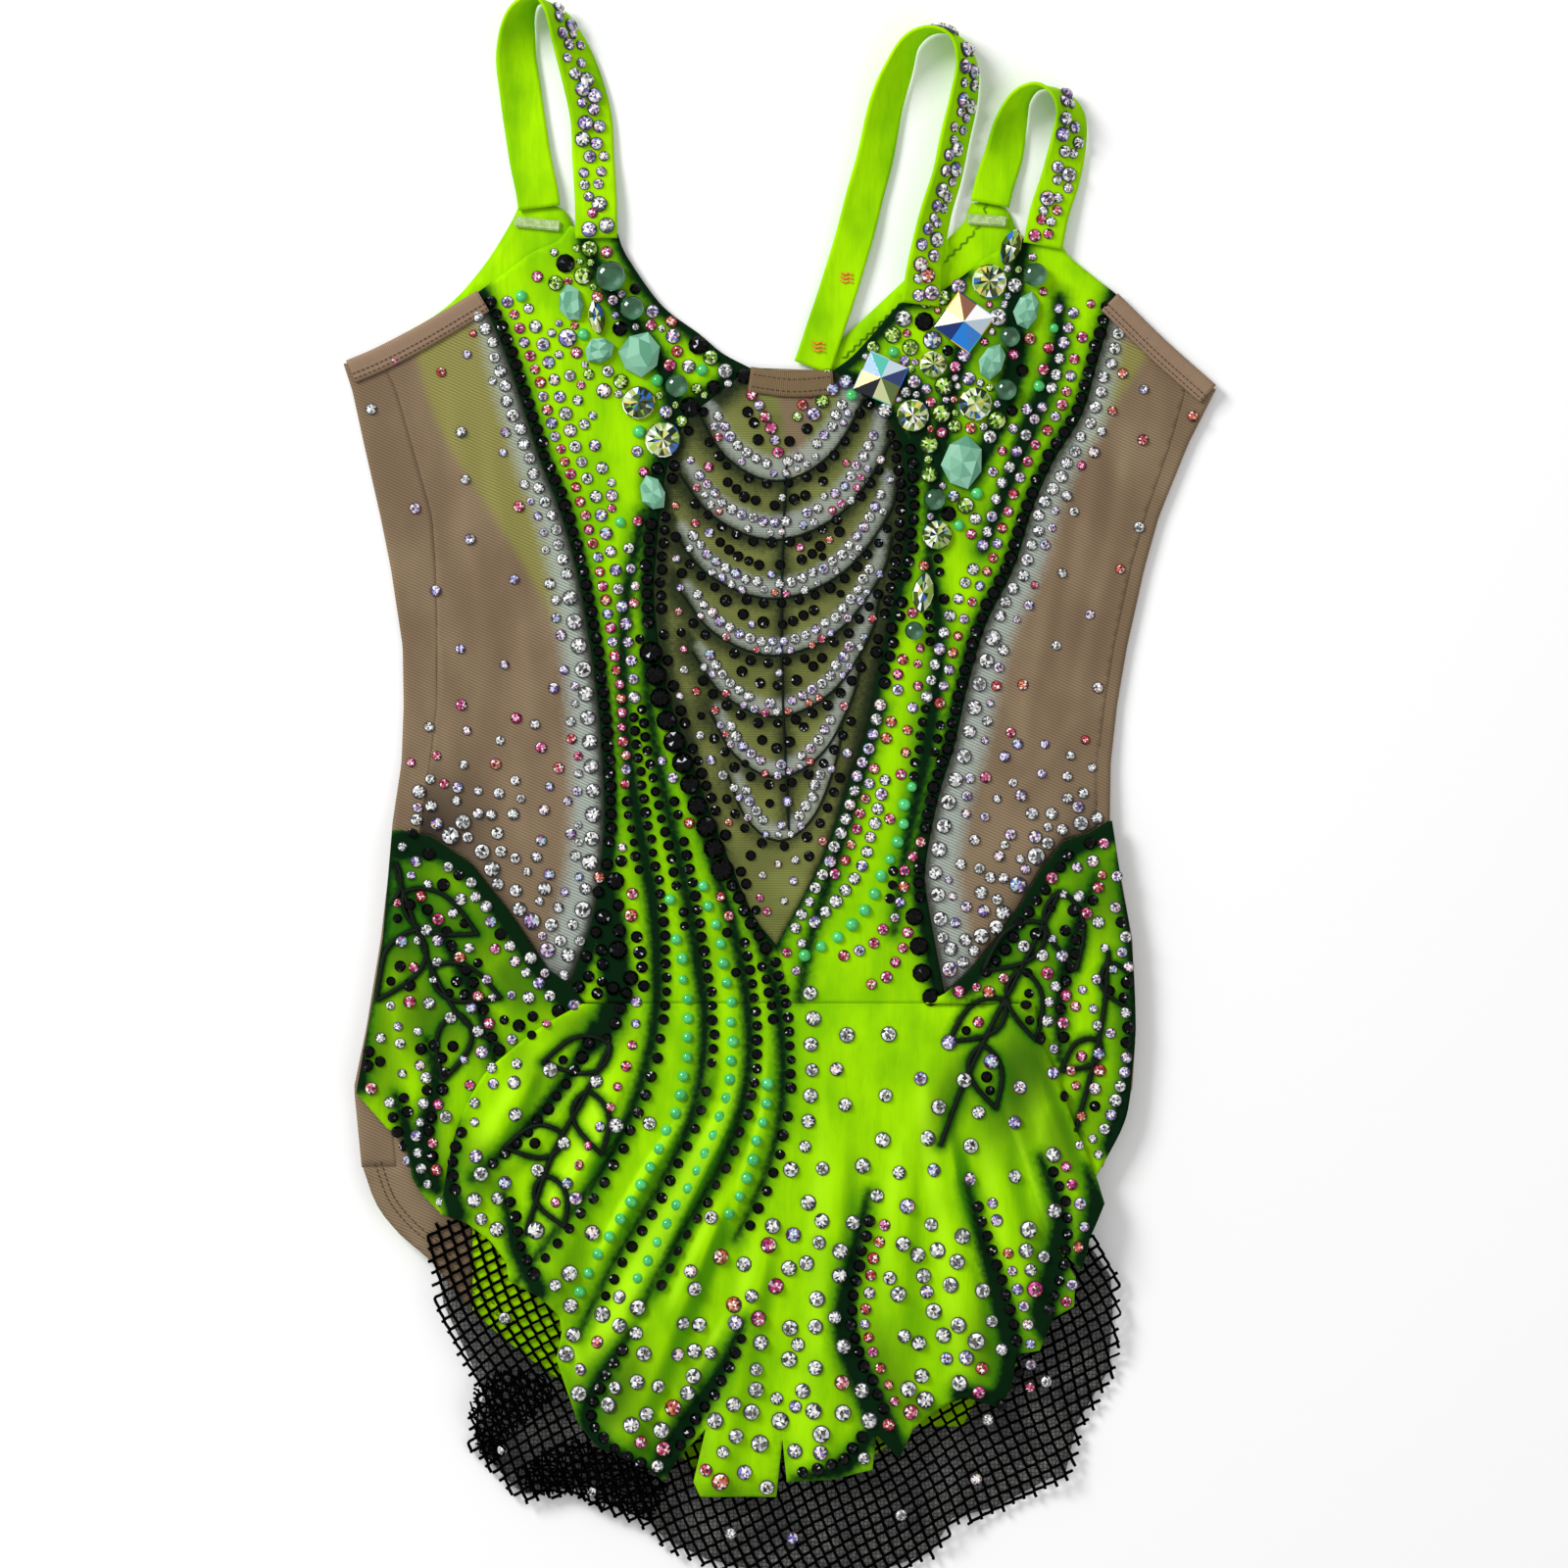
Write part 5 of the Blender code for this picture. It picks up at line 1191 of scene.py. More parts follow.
def makeStrap(name):
    grid, length, offset, _ = strapGrid(name)
    obj = newObject(name + "_cloth", toFrame(*np.moveaxis(grid, 2, 0)).reshape(-1, 3),
                    gridFaces(*grid.shape[:2], flipped=True), velvetPlain)
    width = abs(offset[-1] - offset[0]) / 1000
    return thicken(obj, 1.3, (width, length[-1] / 1000, width * length[-1] / 1000))


# places across a folded binding, and how far it stands off the cloth there
bindingFold = ((-0.03, -1.6), (0.0, -0.6), (0.06, 0.1), (0.16, 0.35), (0.35, 0.25), (0.6, 0.12), (0.85, 0.2),
               (0.97, 0.05), (1.0, -0.35))


def makeBinding(name, line, width, material):
    # a strip folded over the raw edge, with its ribs running across it
    top = smoothLine(line, 1.5)
    length, way = walk(top)
    points, uv = [], []
    for (x, y), (dx, dy), run in zip(top, way, length):
        for share, lift in bindingFold:
            qx, qy = x + dy * width * share, y - dx * width * share
            points.append((qx, qy, float(onFront(qx, qy)) + lift + 0.06 * math.sin(run * 1.1)))
            uv.append((run / 1000, share * width / 1000))
    obj = newObject(name, toFrame(*np.array(points).T),
                    [face[::-1] for face in gridFaces(len(top), len(bindingFold))], material)
    addUv(obj, uv)
    flat = max(width + 2.0, 10.2) / 1000
    return thicken(obj, 0.9, (flat, length[-1] / 1000, flat * length[-1] / 1000))


print("straps and bindings")
neckLine = ((-13, 163), (3, 161), (19, 162))
for strapName in straps["narrowing"]:
    pieces[strapName] = makeStrap(strapName)
for key, name, line, width, material in (
        ("armLeft", "arm_binding_left_cloth", cut["leftArmhole"], 8.5, elastic),
        ("armRight", "arm_binding_right_cloth", cut["rightArmhole"], 8.5, elastic),
        ("neck", "neck_binding_cloth", neckLine, 9.0, elasticNeck)):
    pieces[key] = makeBinding(name, line, width, material)


def ringOf(count, rx, ry, z, start=0.0, power=1.0, corners=(1.0,)):
    points = []
    for i in range(count):
        turn = math.tau * (i + start) / count
        reach = corners[i % len(corners)]
        narrow = abs(math.sin(turn)) ** (power - 1.0) if power > 1 else 1.0
        points.append((rx * reach * math.cos(turn), ry * reach * math.sin(turn) * narrow, z))
    return points


def cutStone(rings, top):
    # points and faces of a stone from its flat back up, and each face's level, -1 for the back; between a
    # ring and one that starts elsewhere the faces are triangles
    stacked = [ringOf(*ring) for ring in rings]
    points, faces, levels = [p for ring in stacked for p in ring], [], [-1]
    count, last = len(stacked[0]), len(rings) - 1
    faces.append(tuple(range(count))[::-1])
    for level in range(last):
        a, b = level * count, (level + 1) * count
        starts = [ring[4] if len(ring) > 4 else 0.0 for ring in rings[level:level + 2]]
        for i in range(count):
            j = (i + 1) % count
            made = [(a + i, a + j, b + j, b + i)] if starts[0] == starts[1] else [(a + i, a + j, b + i),
                                                                                 (b + i, a + j, b + j)]
            faces += made
            levels += [level] * len(made)
    if top is None:
        faces.append(tuple(range(last * count, (last + 1) * count)))
        levels.append(last)
    else:
        points.append((0, 0, top))
        faces += [(last * count + i, last * count + (i + 1) % count, len(points) - 1) for i in range(count)]
        levels += [last] * count
    return points, faces, levels


def smallStone(name, rings, top, seed, rims=1):
    # every facet gets its own value, which picks its painted reflection, and the edge facets are marked for
    # painted shade
    points, faces, levels = cutStone(rings, top)
    obj = newObject(name, points, faces, crystalClear, smooth=False)
    addAttribute(obj, "facet", np.random.default_rng(seed).uniform(0, 1, len(faces)), domain="FACE")
    addAttribute(obj, "rimPaintedShade", np.array(levels) < rims, domain="FACE")
    return obj


# flat-backed stones a unit across: a ring of kites up to a table split round its middle
roundStone = smallStone("roundStone", ((10, 0.5, 0.5, 0.0), (10, 0.5, 0.5, 0.10), (10, 0.43, 0.43, 0.17),
                                       (10, 0.25, 0.25, 0.34, 0.5)), 0.35, 5, rims=2)
domeStone = smallStone("domeStone", ((10, 0.5, 0.5, 0.0), (10, 0.5, 0.5, 0.12), (10, 0.36, 0.36, 0.33),
                                     (10, 0.16, 0.16, 0.44)), 0.47, 6)
stitchPiece = smallStone("stitchPiece", ((6, 0.5, 0.13, 0.0), (6, 0.5, 0.15, 0.12), (6, 0.38, 0.08, 0.22)),
                         None, 7)


def topLevel(x, y):
    # the upper face of whatever lies on top at a point
    x, y = np.asarray(x, float), np.asarray(y, float)
    inSkirt = depthInside(skirtOutline, x, y) > -0.3
    inHip = (depthInside(hipLeftOutline, x, y) > -0.3) | (depthInside(hipRightOutline, x, y) > -0.3)
    inNet = ~inSkirt & ~inHip & (y < -160)
    z = np.where(inHip, hipLevel(x, y), frontLevel(x, y)) + 0.55
    z = np.where(inNet, netLevel(x, y) + 0.5, z)
    return np.where(inSkirt, skirtLevel(x, y) + 0.55, z)


placed = {"at": [], "kind": [], "size": []}


def putStone(p, kind, size, margin=0.1):
    # only where it is clear of those already there
    if placed["at"]:
        away = np.hypot(*(np.array(placed["at"]) - p).T)
        if not np.all(away > (np.array(placed["size"]) + size) / 2 + margin):
            return False
    for key, value in (("at", (float(p[0]), float(p[1]))), ("kind", kind), ("size", float(size))):
        placed[key].append(value)
    return True


def stoneRow(points, offset, pitch, size, kinds, seed, part=(0.0, 1.0), jitter=0.25, sizeJitter=0.06):
    # a row beside a line: offset is to the left of its direction
    rng = np.random.default_rng(seed)
    kinds = kinds.split()
    line = smoothLine(points, 1.5)
    lengths, way = walk(line)
    for distance in np.arange(part[0] * lengths[-1], part[1] * lengths[-1], pitch):
        x, y, dx, dy = (np.interp(distance, lengths, values) for values in (*line.T, *way.T))
        shift = offset + rng.normal(0, jitter)
        kind = kinds[int(rng.integers(len(kinds)))]
        putStone((x - dy * shift, y + dx * shift), kind, size * (1 + rng.normal(0, sizeJitter)))


def scatter(inside, count, spread, sizes, kinds, seed, box, margin=0.4):
    # box is its left, right, lower and upper edge
    rng = np.random.default_rng(seed)
    kinds = kinds.split()
    mine = []
    for _ in range(count * (12 if margin > 0.2 else 30)):
        if len(mine) >= count:
            break
        p = rng.uniform((box[0], box[2]), (box[1], box[3]))
        if not inside(*p) or (mine and np.min(np.hypot(*(np.array(mine) - p).T)) < spread):
            continue
        size = sizes[int(rng.integers(len(sizes)))]
        if putStone(p, kinds[int(rng.integers(len(kinds)))], size, margin):
            mine.append(p)


# shape, x, y, length, width and turn of each large stone, which has a solid of its own
bigStones = (
    ("square", 70.5, 181, 18, 18, -36), ("square", 38, 159, 17, 17, -24),
    ("rivoli", -57, 149.5, 13, 13, 0), ("rivoli", -47.5, 135, 14, 14, 8),
    ("rivoli", 50.5, 144.5, 12.5, 12.5, 4), ("rivoli", 75, 149, 13, 13, 0),
    ("rivoli", 80.5, 197, 13.5, 13.5, 10), ("rivoli", 60, 97.5, 11.5, 11.5, 0),
    ("rivoli", 58.5, 164.5, 10.5, 10.5, 0), ("shield", -56.5, 168.5, 18.5, 17.5, 70),
    ("shield", -72.5, 170, 12.5, 11, 20), ("shield", -83.5, 188.5, 15.5, 10.5, 100),
    ("shield", -51.5, 114, 15, 10.5, 110), ("shield", 95, 185.5, 15.5, 10.5, 75),
    ("shield", 81.5, 165.5, 15.5, 10.5, 65), ("shield", 70, 126, 22, 17.5, 80),
    ("bead", -68, 199, 12, 12, 0), ("bead", -59.5, 186.5, 9.5, 9.5, 0), ("bead", -42, 156, 9, 9, 0),
    ("bead", 98.5, 199.5, 9.5, 9.5, 0), ("bead", 88.6, 175.2, 8, 8, 0), ("bead", 87, 154.5, 8.5, 8.5, 0),
    ("bead", 59, 111.5, 8.5, 8.5, 0), ("bead", 51, 60, 7.5, 7.5, 0), ("navette", -73.5, 183, 14, 6.5, 100),
    ("navette", 89, 210.5, 15, 8, 70), ("navette", 54.5, 75, 16, 8.5, 82),
)


def gemRings(shape, a, b):
    # a large stone's rings from its flat back up, and the height of its point
    if shape == "square":
        side, corner = (0.985, math.sqrt(2) * 0.985), (0.94, math.sqrt(2) * 0.93)
        return [(8, a, b, z, 0.0, 1.0, reach) for z, reach in ((0.0, side), (1.3, side), (1.7, corner))], 5.2
    if shape == "rivoli":
        return [(16, a * wide, b * wide, z, start) for wide, z, start in (
            (1, 0.0, 0), (1, 1.2, 0), (0.93, 1.6, 0), (0.5, 3.1, 0.5))], 4.2
    if shape == "shield":
        uneven = (1.0, 0.9, 0.97, 0.88, 1.0, 0.92, 0.94)
        return [(7, a, b, 0.0, 0, 1, uneven), (7, a, b, 1.4, 0, 1, uneven),
                (7, a * 0.66, b * 0.66, 3.2, 0.5, 1, uneven)], 3.5
    if shape == "navette":
        return [(12, a * wide, b * deep, z, 0.0, 1.5) for wide, deep, z in (
            (1, 1, 0.0), (1, 1, 1.2), (0.93, 0.9, 1.6), (0.55, 0.5, 3.4))], 3.8
    return [(20, a * math.cos(turn), b * math.cos(turn), 2.9 + 2.9 * math.sin(turn))
            for turn in np.radians((-62, -40, -16, 8, 30, 50, 68, 82))], 5.8


def makeGems(shape, material, shades=None):
    # each stone stands where its solid stands, from the same back to the same point
    rng = np.random.default_rng(17)
    points, faces, facet, rimPaintedShade, paintedGlow, nodes = [], [], [], [], [], []
    for number, (_, x, y, length, width, turn) in enumerate([g for g in bigStones if g[0] == shape]):
        nodes.append(f"{shape}_stone_{number + 1}")
        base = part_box(nodes[-1])[0][2] * 1000
        rings, peak = gemRings(shape, length / 2, width / 2)
        c, d = math.cos(math.radians(turn)), math.sin(math.radians(turn))
        first, long = len(points), max(length, width) / 2
        rng.uniform()  # one draw goes unused before each stone, which keeps its facets' shades
        corners, sides, levels = cutStone(rings, peak)
        for px, py, pz in corners:
            u, v = px * c - py * d, px * d + py * c
            points.append((x + px * c - py * d, y + px * d + py * c, base + pz))
            # a painted glow, growing towards the side away from the lamp
            paintedGlow.append(max(0.0, u * 0.62 / long - v * 0.7 / long))
        fan = 0
        # each facet's value picks its painted reflection from the material's stops
        for side, level in zip(sides, levels):
            faces.append(tuple(first + i for i in side))
            rimPaintedShade.append(float(level < 1))
            if level == len(rings) - 1 and shades:
                facet.append((shades[fan % len(shades)] + 0.37 * number) % 1.0)
                fan += 1
            else:
                facet.append(0.5 if level < 0 else float(rng.uniform()))
    obj = newObject("gems_" + shape, toFrame(*np.array(points).T), faces, material, smooth=shape == "bead")
    addAttribute(obj, "facet", facet, domain="FACE")
    addAttribute(obj, "rimPaintedShade", rimPaintedShade, domain="FACE")
    addAttribute(obj, "paintedGlow", paintedGlow)
    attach(obj, "root")
    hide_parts(*nodes)


def insideOf(outline, least):
    return lambda x, y: depthInside(outline, x, y) > least


def layRows(*rows):
    for row in rows:
        stoneRow(*row)


def layChest():
    # close clusters along the neck, where green, red and clear stones fill in between the large ones
    for points, seed, count in (
            (((-92, 210), (-70, 214), (-58, 196), (-36, 176), (-12, 160), (-30, 150), (-52, 128), (-60, 140),
              (-78, 160), (-92, 184)), 250, 150),
            (((32, 172), (52, 190), (78, 204), (94, 212), (104, 204), (96, 180), (88, 156), (80, 118),
              (66, 92), (54, 100), (54, 132), (40, 142), (24, 152)), 251, 190)):
        outline = closedLine(points)
        (left, low), (right, high) = outline.min(axis=0), outline.max(axis=0)
        for share, spread, sizes, kinds, later in (
                (3, 7.0, (5.6, 6.8, 7.6, 6.2), "lime clear aurora lime jet", 0),
                (1, 4.0, (4.8, 4.4, 5.2), "red jet aurora jet lime red clear mint", 5),
                (1, 3.0, (3.4, 3.0), "aurora lime red clear", 9)):
            scatter(insideOf(outline, 1.5), count // share, spread, sizes, kinds, seed + later,
                    (left, right, low, high), 0.1)
    # down both sides of the neck's middle
    middle = ((-15, 157), (-9, 147), (-4, 137), (-1, 126))
    layRows((middle, 0.0, 5.0, 4.5, "red red aurora", 195, (0, 1), 0.3),
            (middle, -4.6, 5.0, 4.5, "jet", 196, (0, 1), 0.3),
            (((24, 158), (15, 150), (9, 140)), 0.0, 6.0, 5.6, "lime lime aurora", 197, (0, 1), 0.8),
            (((20, 161), (11, 152), (6, 142)), -1.5, 5.0, 4.2, "aurora red lime", 198, (0.1, 1), 0.6))


def layWaist():
    # the largest black stones stand where the long seams end
    for x, y, size in ((-66, -38, 7.2), (-65, -65, 7.6), (-71, -52, 6.4), (-60, -76, 6.2), (-67, -80, 5.6),
                       (51, -52, 7.2), (52.8, -63.5, 7.6), (54, -74, 7.6), (57.6, -83.5, 7.2)):
        putStone((x, y), "jet", size)
    darkCorner = closedLine([(-76, -28), (-62, -24), (-54, -60), (-52, -84), (-78, -84), (-80, -66)])
    scatter(insideOf(darkCorner, 1.5), 34, 5.4, (4.8, 5.4, 4.8), "jet jet jet red", 262, (-80, -50, -86, -24))
    # stones close up towards the hips
    for line, seed in ((lineStretch(-148, -86), 180), (lineStretch(66, 122), 185)):
        layRows(*((line, offset, pitch, size, mostlyPale, seed + number, (0.04, 0.98), 1.0, 0.14)
                  for number, (offset, pitch, size) in enumerate(((4.4, 6.4, 5.8), (10.2, 7.0, 5.2),
                                                                  (16.4, 8.4, 4.7)))))
    # mint and red stones across the waist, and a column of clear ones below it
    layRows((((8, -67), (24, -57), (36, -41), (44, -24), (50, 0)), 0.0, 7.4, 4.6, "mint", 190, (0, 1), 0.5),
            (((24, -68), (38, -58), (46, -42), (52, -20)), 0.0, 6.2, 4.4, mostlyRed, 191, (0, 1), 1.2),
            (((34, -78), (44, -70), (49, -56)), 0.0, 6.4, 4.4, mostlyRed, 192, (0, 1), 1.0),
            (((12, -54), (26, -40), (35, -18), (40, 6)), 0.0, 5.8, 5.0, mostlyPale, 193, (0, 1), 0.5),
            (((9, -72), (11, -92), (10, -120), (8, -148)), 0.0, 10.0, 5.8, "clear", 194, (0, 1), 0.4))


def laySeams():
    left, right = cut["leftPrincess"], cut["rightPrincess"]
    # beside the two long seams: black, then red, then clear stones on the velvet
    layRows((left, 2.8, 5.3, 4.7, "jet", 1, (0.02, 1.0)), (right, -2.8, 5.3, 4.7, "jet", 2, (0.02, 1.0)),
            (left, 3.0, 8.6, 7.6, "jet", 3, (0.02, 0.26)),
            (left, 9.0, 5.5, 4.4, mostlyRed, 4, (0.03, 0.72)),
            (right, -9.0, 6.6, 4.4, mostlyRed, 5, (0.1, 0.62)),
            (left, 15.0, 7.0, 5.0, mostlyPale, 6, (0.05, 0.62)),
            (right, -14.6, 6.2, 4.8, mostlyPale, 7, (0.04, 0.6)),
            (right, -20.0, 8.0, 4.4, "aurora red mint", 8, (0.04, 0.4)),
            (left, 21.5, 10.0, 4.6, "aurora mint clear", 9, (0.08, 0.42)))
    # on the silver bands
    layRows((left, -4.2, 9.6, 6.6, "clear", 10, (0.45, 0.98)),
            (right, 4.2, 9.6, 6.4, "clear", 11, (0.5, 0.98)),
            (left, -4.0, 6.0, 4.9, "clear", 12, (0.03, 1.0), 0.7),
            (right, 4.0, 6.0, 4.9, "clear", 13, (0.03, 1.0), 0.7),
            (left, -9.6, 7.0, 3.9, "aurora aurora red clear", 14, (0.05, 1.0), 1.5, 0.12),
            (right, 9.4, 7.4, 3.9, "aurora aurora red clear", 15, (0.05, 1.0), 1.5, 0.12))


def layInset():
    # round the inset
    for line, side, first, share in ((cut["insetLeft"], -1, 20, 1.0), (cut["insetRight"], 1, 30, 0.56)):
        if side < 0:
            stoneRow(line, side * 3.6, 8.9, 8.4, "jet", first, (0.5, 0.86), 0.3)
        layRows((line, side * 3.0, 5.4, 4.8, "jet", first + 1, (0.02, share), 0.6),
                (line, -side * 2.4, 5.2, 4.3, "jet", first + 2, (0.1, 0.9 * share), 0.2),
                (line, side * 3.0, 5.8, 5.0, mostlyPale, first + 4, (share, 0.98), 0.5),
                (line, side * 8.4, 6.2, 4.3, mostlyRed, first + 3, (0.05, 0.9), 0.6))
    for number, (level, half, _) in enumerate(scallops):
        line = scallopLine(level, half)[::4]
        layRows((line, 1.4, 4.7, 4.3, mostlyPale, 40 + number, (0.05, 0.95), 0.3),
                (line, -2.2, 4.1, 3.3, "aurora clear aurora red", 50 + number, (0.08, 0.92), 0.4))
        if level > 0:
            stoneRow(line, 8.4, 5.6, 4.3, "jet", 60 + number, (0.14, 0.86), 0.3)
        stoneRow(line, -6.6, 5.8, 4.0, "jet", 64 + number, (0.12, 0.88), 0.3)
    # colours between the scallops
    scatter(insideOf(insetOutline, 4), 120, 5.6, (3.6, 4.2, 3.2), "aurora aurora red clear jet", 90,
            (-50, 48, -60, 128))
    # necklines
    layRows((cut["leftNeckline"], -5.0, 5.6, 4.8, "jet jet red", 70, (0.05, 1.0), 1.0),
            (cut["leftNeckline"], -10.0, 6.2, 4.6, "red aurora clear", 71, (0.1, 0.95), 1.2),
            (cut["rightNeckline"], -4.6, 5.8, 4.6, "red clear aurora jet", 72, (0.02, 0.95), 1.0))


def layBands():
    # beside the bands of the bodice and skirt
    for number, (points, (_, half, *_)) in enumerate(inkBands["velvet"][6:-len(fanBands)]):
        layRows((points, half - 0.4, 5.3, 4.6, "jet", 80 + number, (0.02, 1.0)),
                (points, -half + 0.4, 5.5, 4.4, "jet" if number % 2 else "jet jet red", 100 + number,
                 (0.05, 0.95)))
    for number, (points, (_, half, _)) in enumerate(fanBands):
        if number in (1, 2, 3):
            stoneRow(points, -half - 4.6, 8.0, 4.4, "mint", 130 + number, (0.3, 0.98), 0.3)
        beside = "jet" if number < 5 else mostlyPale
        layRows((points, half + 1.2, 5.4, 4.1, beside, 120 + number, (0.0, 0.62), 0.2),
                (points, half + 1.0, 7.4, 4.4, beside, 124 + number, (0.63, 0.96), 0.3),
                (points, -half - 1.0, 5.4, 3.9, beside, 126 + number,
                 (0.0, 0.46 if number < 4 else 0.95), 0.2),
                (points, -half - 5.4, 9.0, 4.2, "red red aurora", 136 + number, (0.1, 0.9), 0.5))
    for number, (points, (_, half, _)) in enumerate(inkBands["skirt"][len(fanBands):]):
        stoneRow(points, half - 1.0, 6.0, 4.6, "jet", 140 + number, (0.1, 0.9), 0.3)
        if number in (3, 5, 6):
            stoneRow(points, half + 4.2, 7.0, 4.6, "red red aurora", 150 + number, (0.1, 0.9), 0.5)
    for number, (points, (_, half, _)) in enumerate(inkBands["hip"]):
        layRows((points, half - 0.8, 5.6, 4.6, "jet jet jet red", 160 + number, (0.05, 0.95), 0.6),
                (points, -half - 0.6, 6.0, 4.8, "clear aurora jet", 170 + number, (0.05, 0.95), 0.8))
    # one black stone in most leaves
    for lines in sprigs.values():
        for k in range(1, len(lines) - 1, 2):
            putStone((lines[k][7] + lines[k + 1][7]) / 2, "jet" if k % 4 == 1 else "red", 4.6)
            putStone((lines[k][10] + lines[k + 1][10]) / 2, "jet", 3.8)


def layScattered():
    for outline, seed in ((closedLine(leftPrincess, insetLeft[::-1], cut["leftNeckline"][::-1]), 200),
                          (closedLine(rightPrincess, insetRight[::-1], cut["rightNeckline"]), 201)):
        (left, _), (right, high) = outline.min(axis=0), outline.max(axis=0)
        offBands = lambda x, y: y > -84 and bandDepth(inkBands["velvet"], x, y) < -1.0
        scatter(lambda x, y: depthInside(outline, x, y) > 3 and offBands(x, y), 70, 8.5, (4.6, 4.9, 3.6),
                "clear aurora mint clear red", seed, (left, right, 20, high))
    inSkirt = lambda x, y: depthInside(skirtOutline, x, y)
    inHips = lambda x, y: max(depthInside(hipLeftOutline, x, y), depthInside(hipRightOutline, x, y)) > 3
    onMesh = lambda x, y: ((x < -76 or x > 66) and y > skirtSeam(x) + 3
                           and across(1, y) + 3 < x < across(4, y) - 3)
    clearest = "clear clear clear clear aurora clear clear red"
    leftSeam, rightSeam = leftPrincess[::-1].T, rightPrincess[::-1].T
    for row in (
            (lambda x, y: 3.2 < inSkirt(x, y) < 17 and y < -130, 260, 7.0, (6.2, 6.8, 5.2, 7.2), clearest,
             210, (-134, 126, -280, -150)),
            (lambda x, y: 10 < inSkirt(x, y) and y < -170, 90, 9.5, (6.2, 6.6), clearest, 216,
             (-134, 126, -270, -92)),
            (insideOf(skirtOutline, 10), 110, 12.0, (5.6, 6.4), "clear clear clear aurora", 211,
             (-134, 126, -270, -92)),
            (inHips, 260, 5.9, (5.2, 4.4, 3.8), "clear aurora clear clear red jet", 212,
             (-166, 138, -165, -20)),
            (onMesh, 110, 6.4, (4.6, 3.8, 5.0), "clear clear aurora", 213, (-156, 134, -80, -2)),
            (onMesh, 26, 9.0, (4.2, 3.8, 4.6), "clear aurora red", 218, (-156, 134, -2, 24)),
            (lambda x, y: onMesh(x, y) and (x < np.interp(y, *leftSeam[::-1]) - 14
                                            or x > np.interp(y, *rightSeam[::-1]) + 14),
             46, 17.0, (4.6, 4.0), "aurora aurora clear red", 214, (-168, 164, 0, 180)),
            (lambda x, y: depthInside(netOutline, x, y) > 6 and inSkirt(x, y) < -4, 9, 24, (5.0,),
             "clear aurora", 215, (-136, 130, -306, -172))):
        scatter(*row)


def layStones():
    for _, x, y, length, width, _ in bigStones:
        for key, value in (("at", (x, y)), ("kind", "big"), ("size", (length + width) / 2 * 1.02)):
            placed[key].append(value)
    for lay in (layChest, layWaist, laySeams, layInset, layBands, layScattered):
        lay()
    # nothing hangs over the garment's edge
    keep = (insideGarment(*np.array(placed["at"]).T) > 1.4) & (np.array(placed["kind"]) != "big")
    for key in placed:
        placed[key] = [value for value, kept in zip(placed[key], keep) if kept]


def stonePoints(kind):
    chosen = [i for i, k in enumerate(placed["kind"]) if k == kind]
    x, y = np.array(placed["at"])[chosen].T
    dx, dy = slopes(topLevel, x, y, 0.8)
    steep = np.hypot(dx, dy)
    limit = np.where(steep > 0.9, 0.9 / np.maximum(steep, 1e-6), 1.0)
    up = np.stack([-dx * limit, -dy * limit, np.ones(len(x))], 1)
    up /= np.linalg.norm(up, axis=1)[:, None]
    return {"at": toFrame(x, y, topLevel(x, y)), "up": up, "along": np.tile((1.0, 0, 0), (len(x), 1)),
            "size": np.array(placed["size"])[chosen] / 1000,
            "shade": np.random.default_rng(len(chosen)).uniform(0, 1, len(x))}


def strapStones():
    # two uneven columns on the outer face of each strap's front leg
    found = {key: [] for key in ("at", "up", "along", "size", "shade", "kind")}
    rng = np.random.default_rng(31)
    for name, end in (("strap_left", 0.5), ("strap_centre", 0.46), ("strap_right", 0.5)):
        grid, length, _, outward = strapGrid(name)
        for column, distance in ((4, 2.0), (8, 4.6)):
            while distance < length[-1] * end:
                row = int(np.searchsorted(length, distance))
                place = grid[row, int(np.clip(column + rng.integers(-1, 2), 2, 10))]
                size, shade = rng.choice((4.2, 5.2, 6.4)), rng.uniform()
                kind = ("red" if distance < 14 and rng.uniform() < 0.3 else
                        "clear" if rng.uniform() < 0.45 else "aurora")
                at = toFrame(*(place + outward[row] * 0.65))
                for key, value in zip(found, (at, outward[row], (1.0, 0, 0), size / 1000, shade, kind)):
                    found[key].append(value)
                distance += size + rng.uniform(0.3, 1.6)
    return found


def makeStones():
    layStones()
    extra = strapStones()
    for kind, piece, material, slotName in (
            ("clear", roundStone, crystalClear, "crystal"), ("aurora", roundStone, crystalAurora, "crystal"),
            ("jet", roundStone, crystalJet, "bead"), ("red", roundStone, crystalRed, "crystal"),
            ("lime", roundStone, crystalLime, "crystal"), ("mint", domeStone, opalMint, "opal")):
        points = stonePoints(kind)
        mine = [i for i, k in enumerate(extra["kind"]) if k == kind]
        for key in points if mine else ():
            points[key] = np.concatenate([points[key], np.array(extra[key])[mine]])
        setPieces("stones_" + kind, points, piece, material, math.tau, 4, kind == "mint")
        print("stones", kind, len(points["size"]))


print("stones")
mostlyPale, mostlyRed = "clear clear aurora", "red red red aurora"
makeStones()
makeGems("square", crystalBig, (0.3, 0.92, 0.18, 0.05, 0.74, 0.62, 0.4, 0.44))
for shape, material, slotName in (("rivoli", crystalGold, "crystal"), ("navette", crystalGold, "crystal"),
                                  ("shield", opalCut, "opal"), ("bead", glassBead, "bead")):
    makeGems(shape, material)


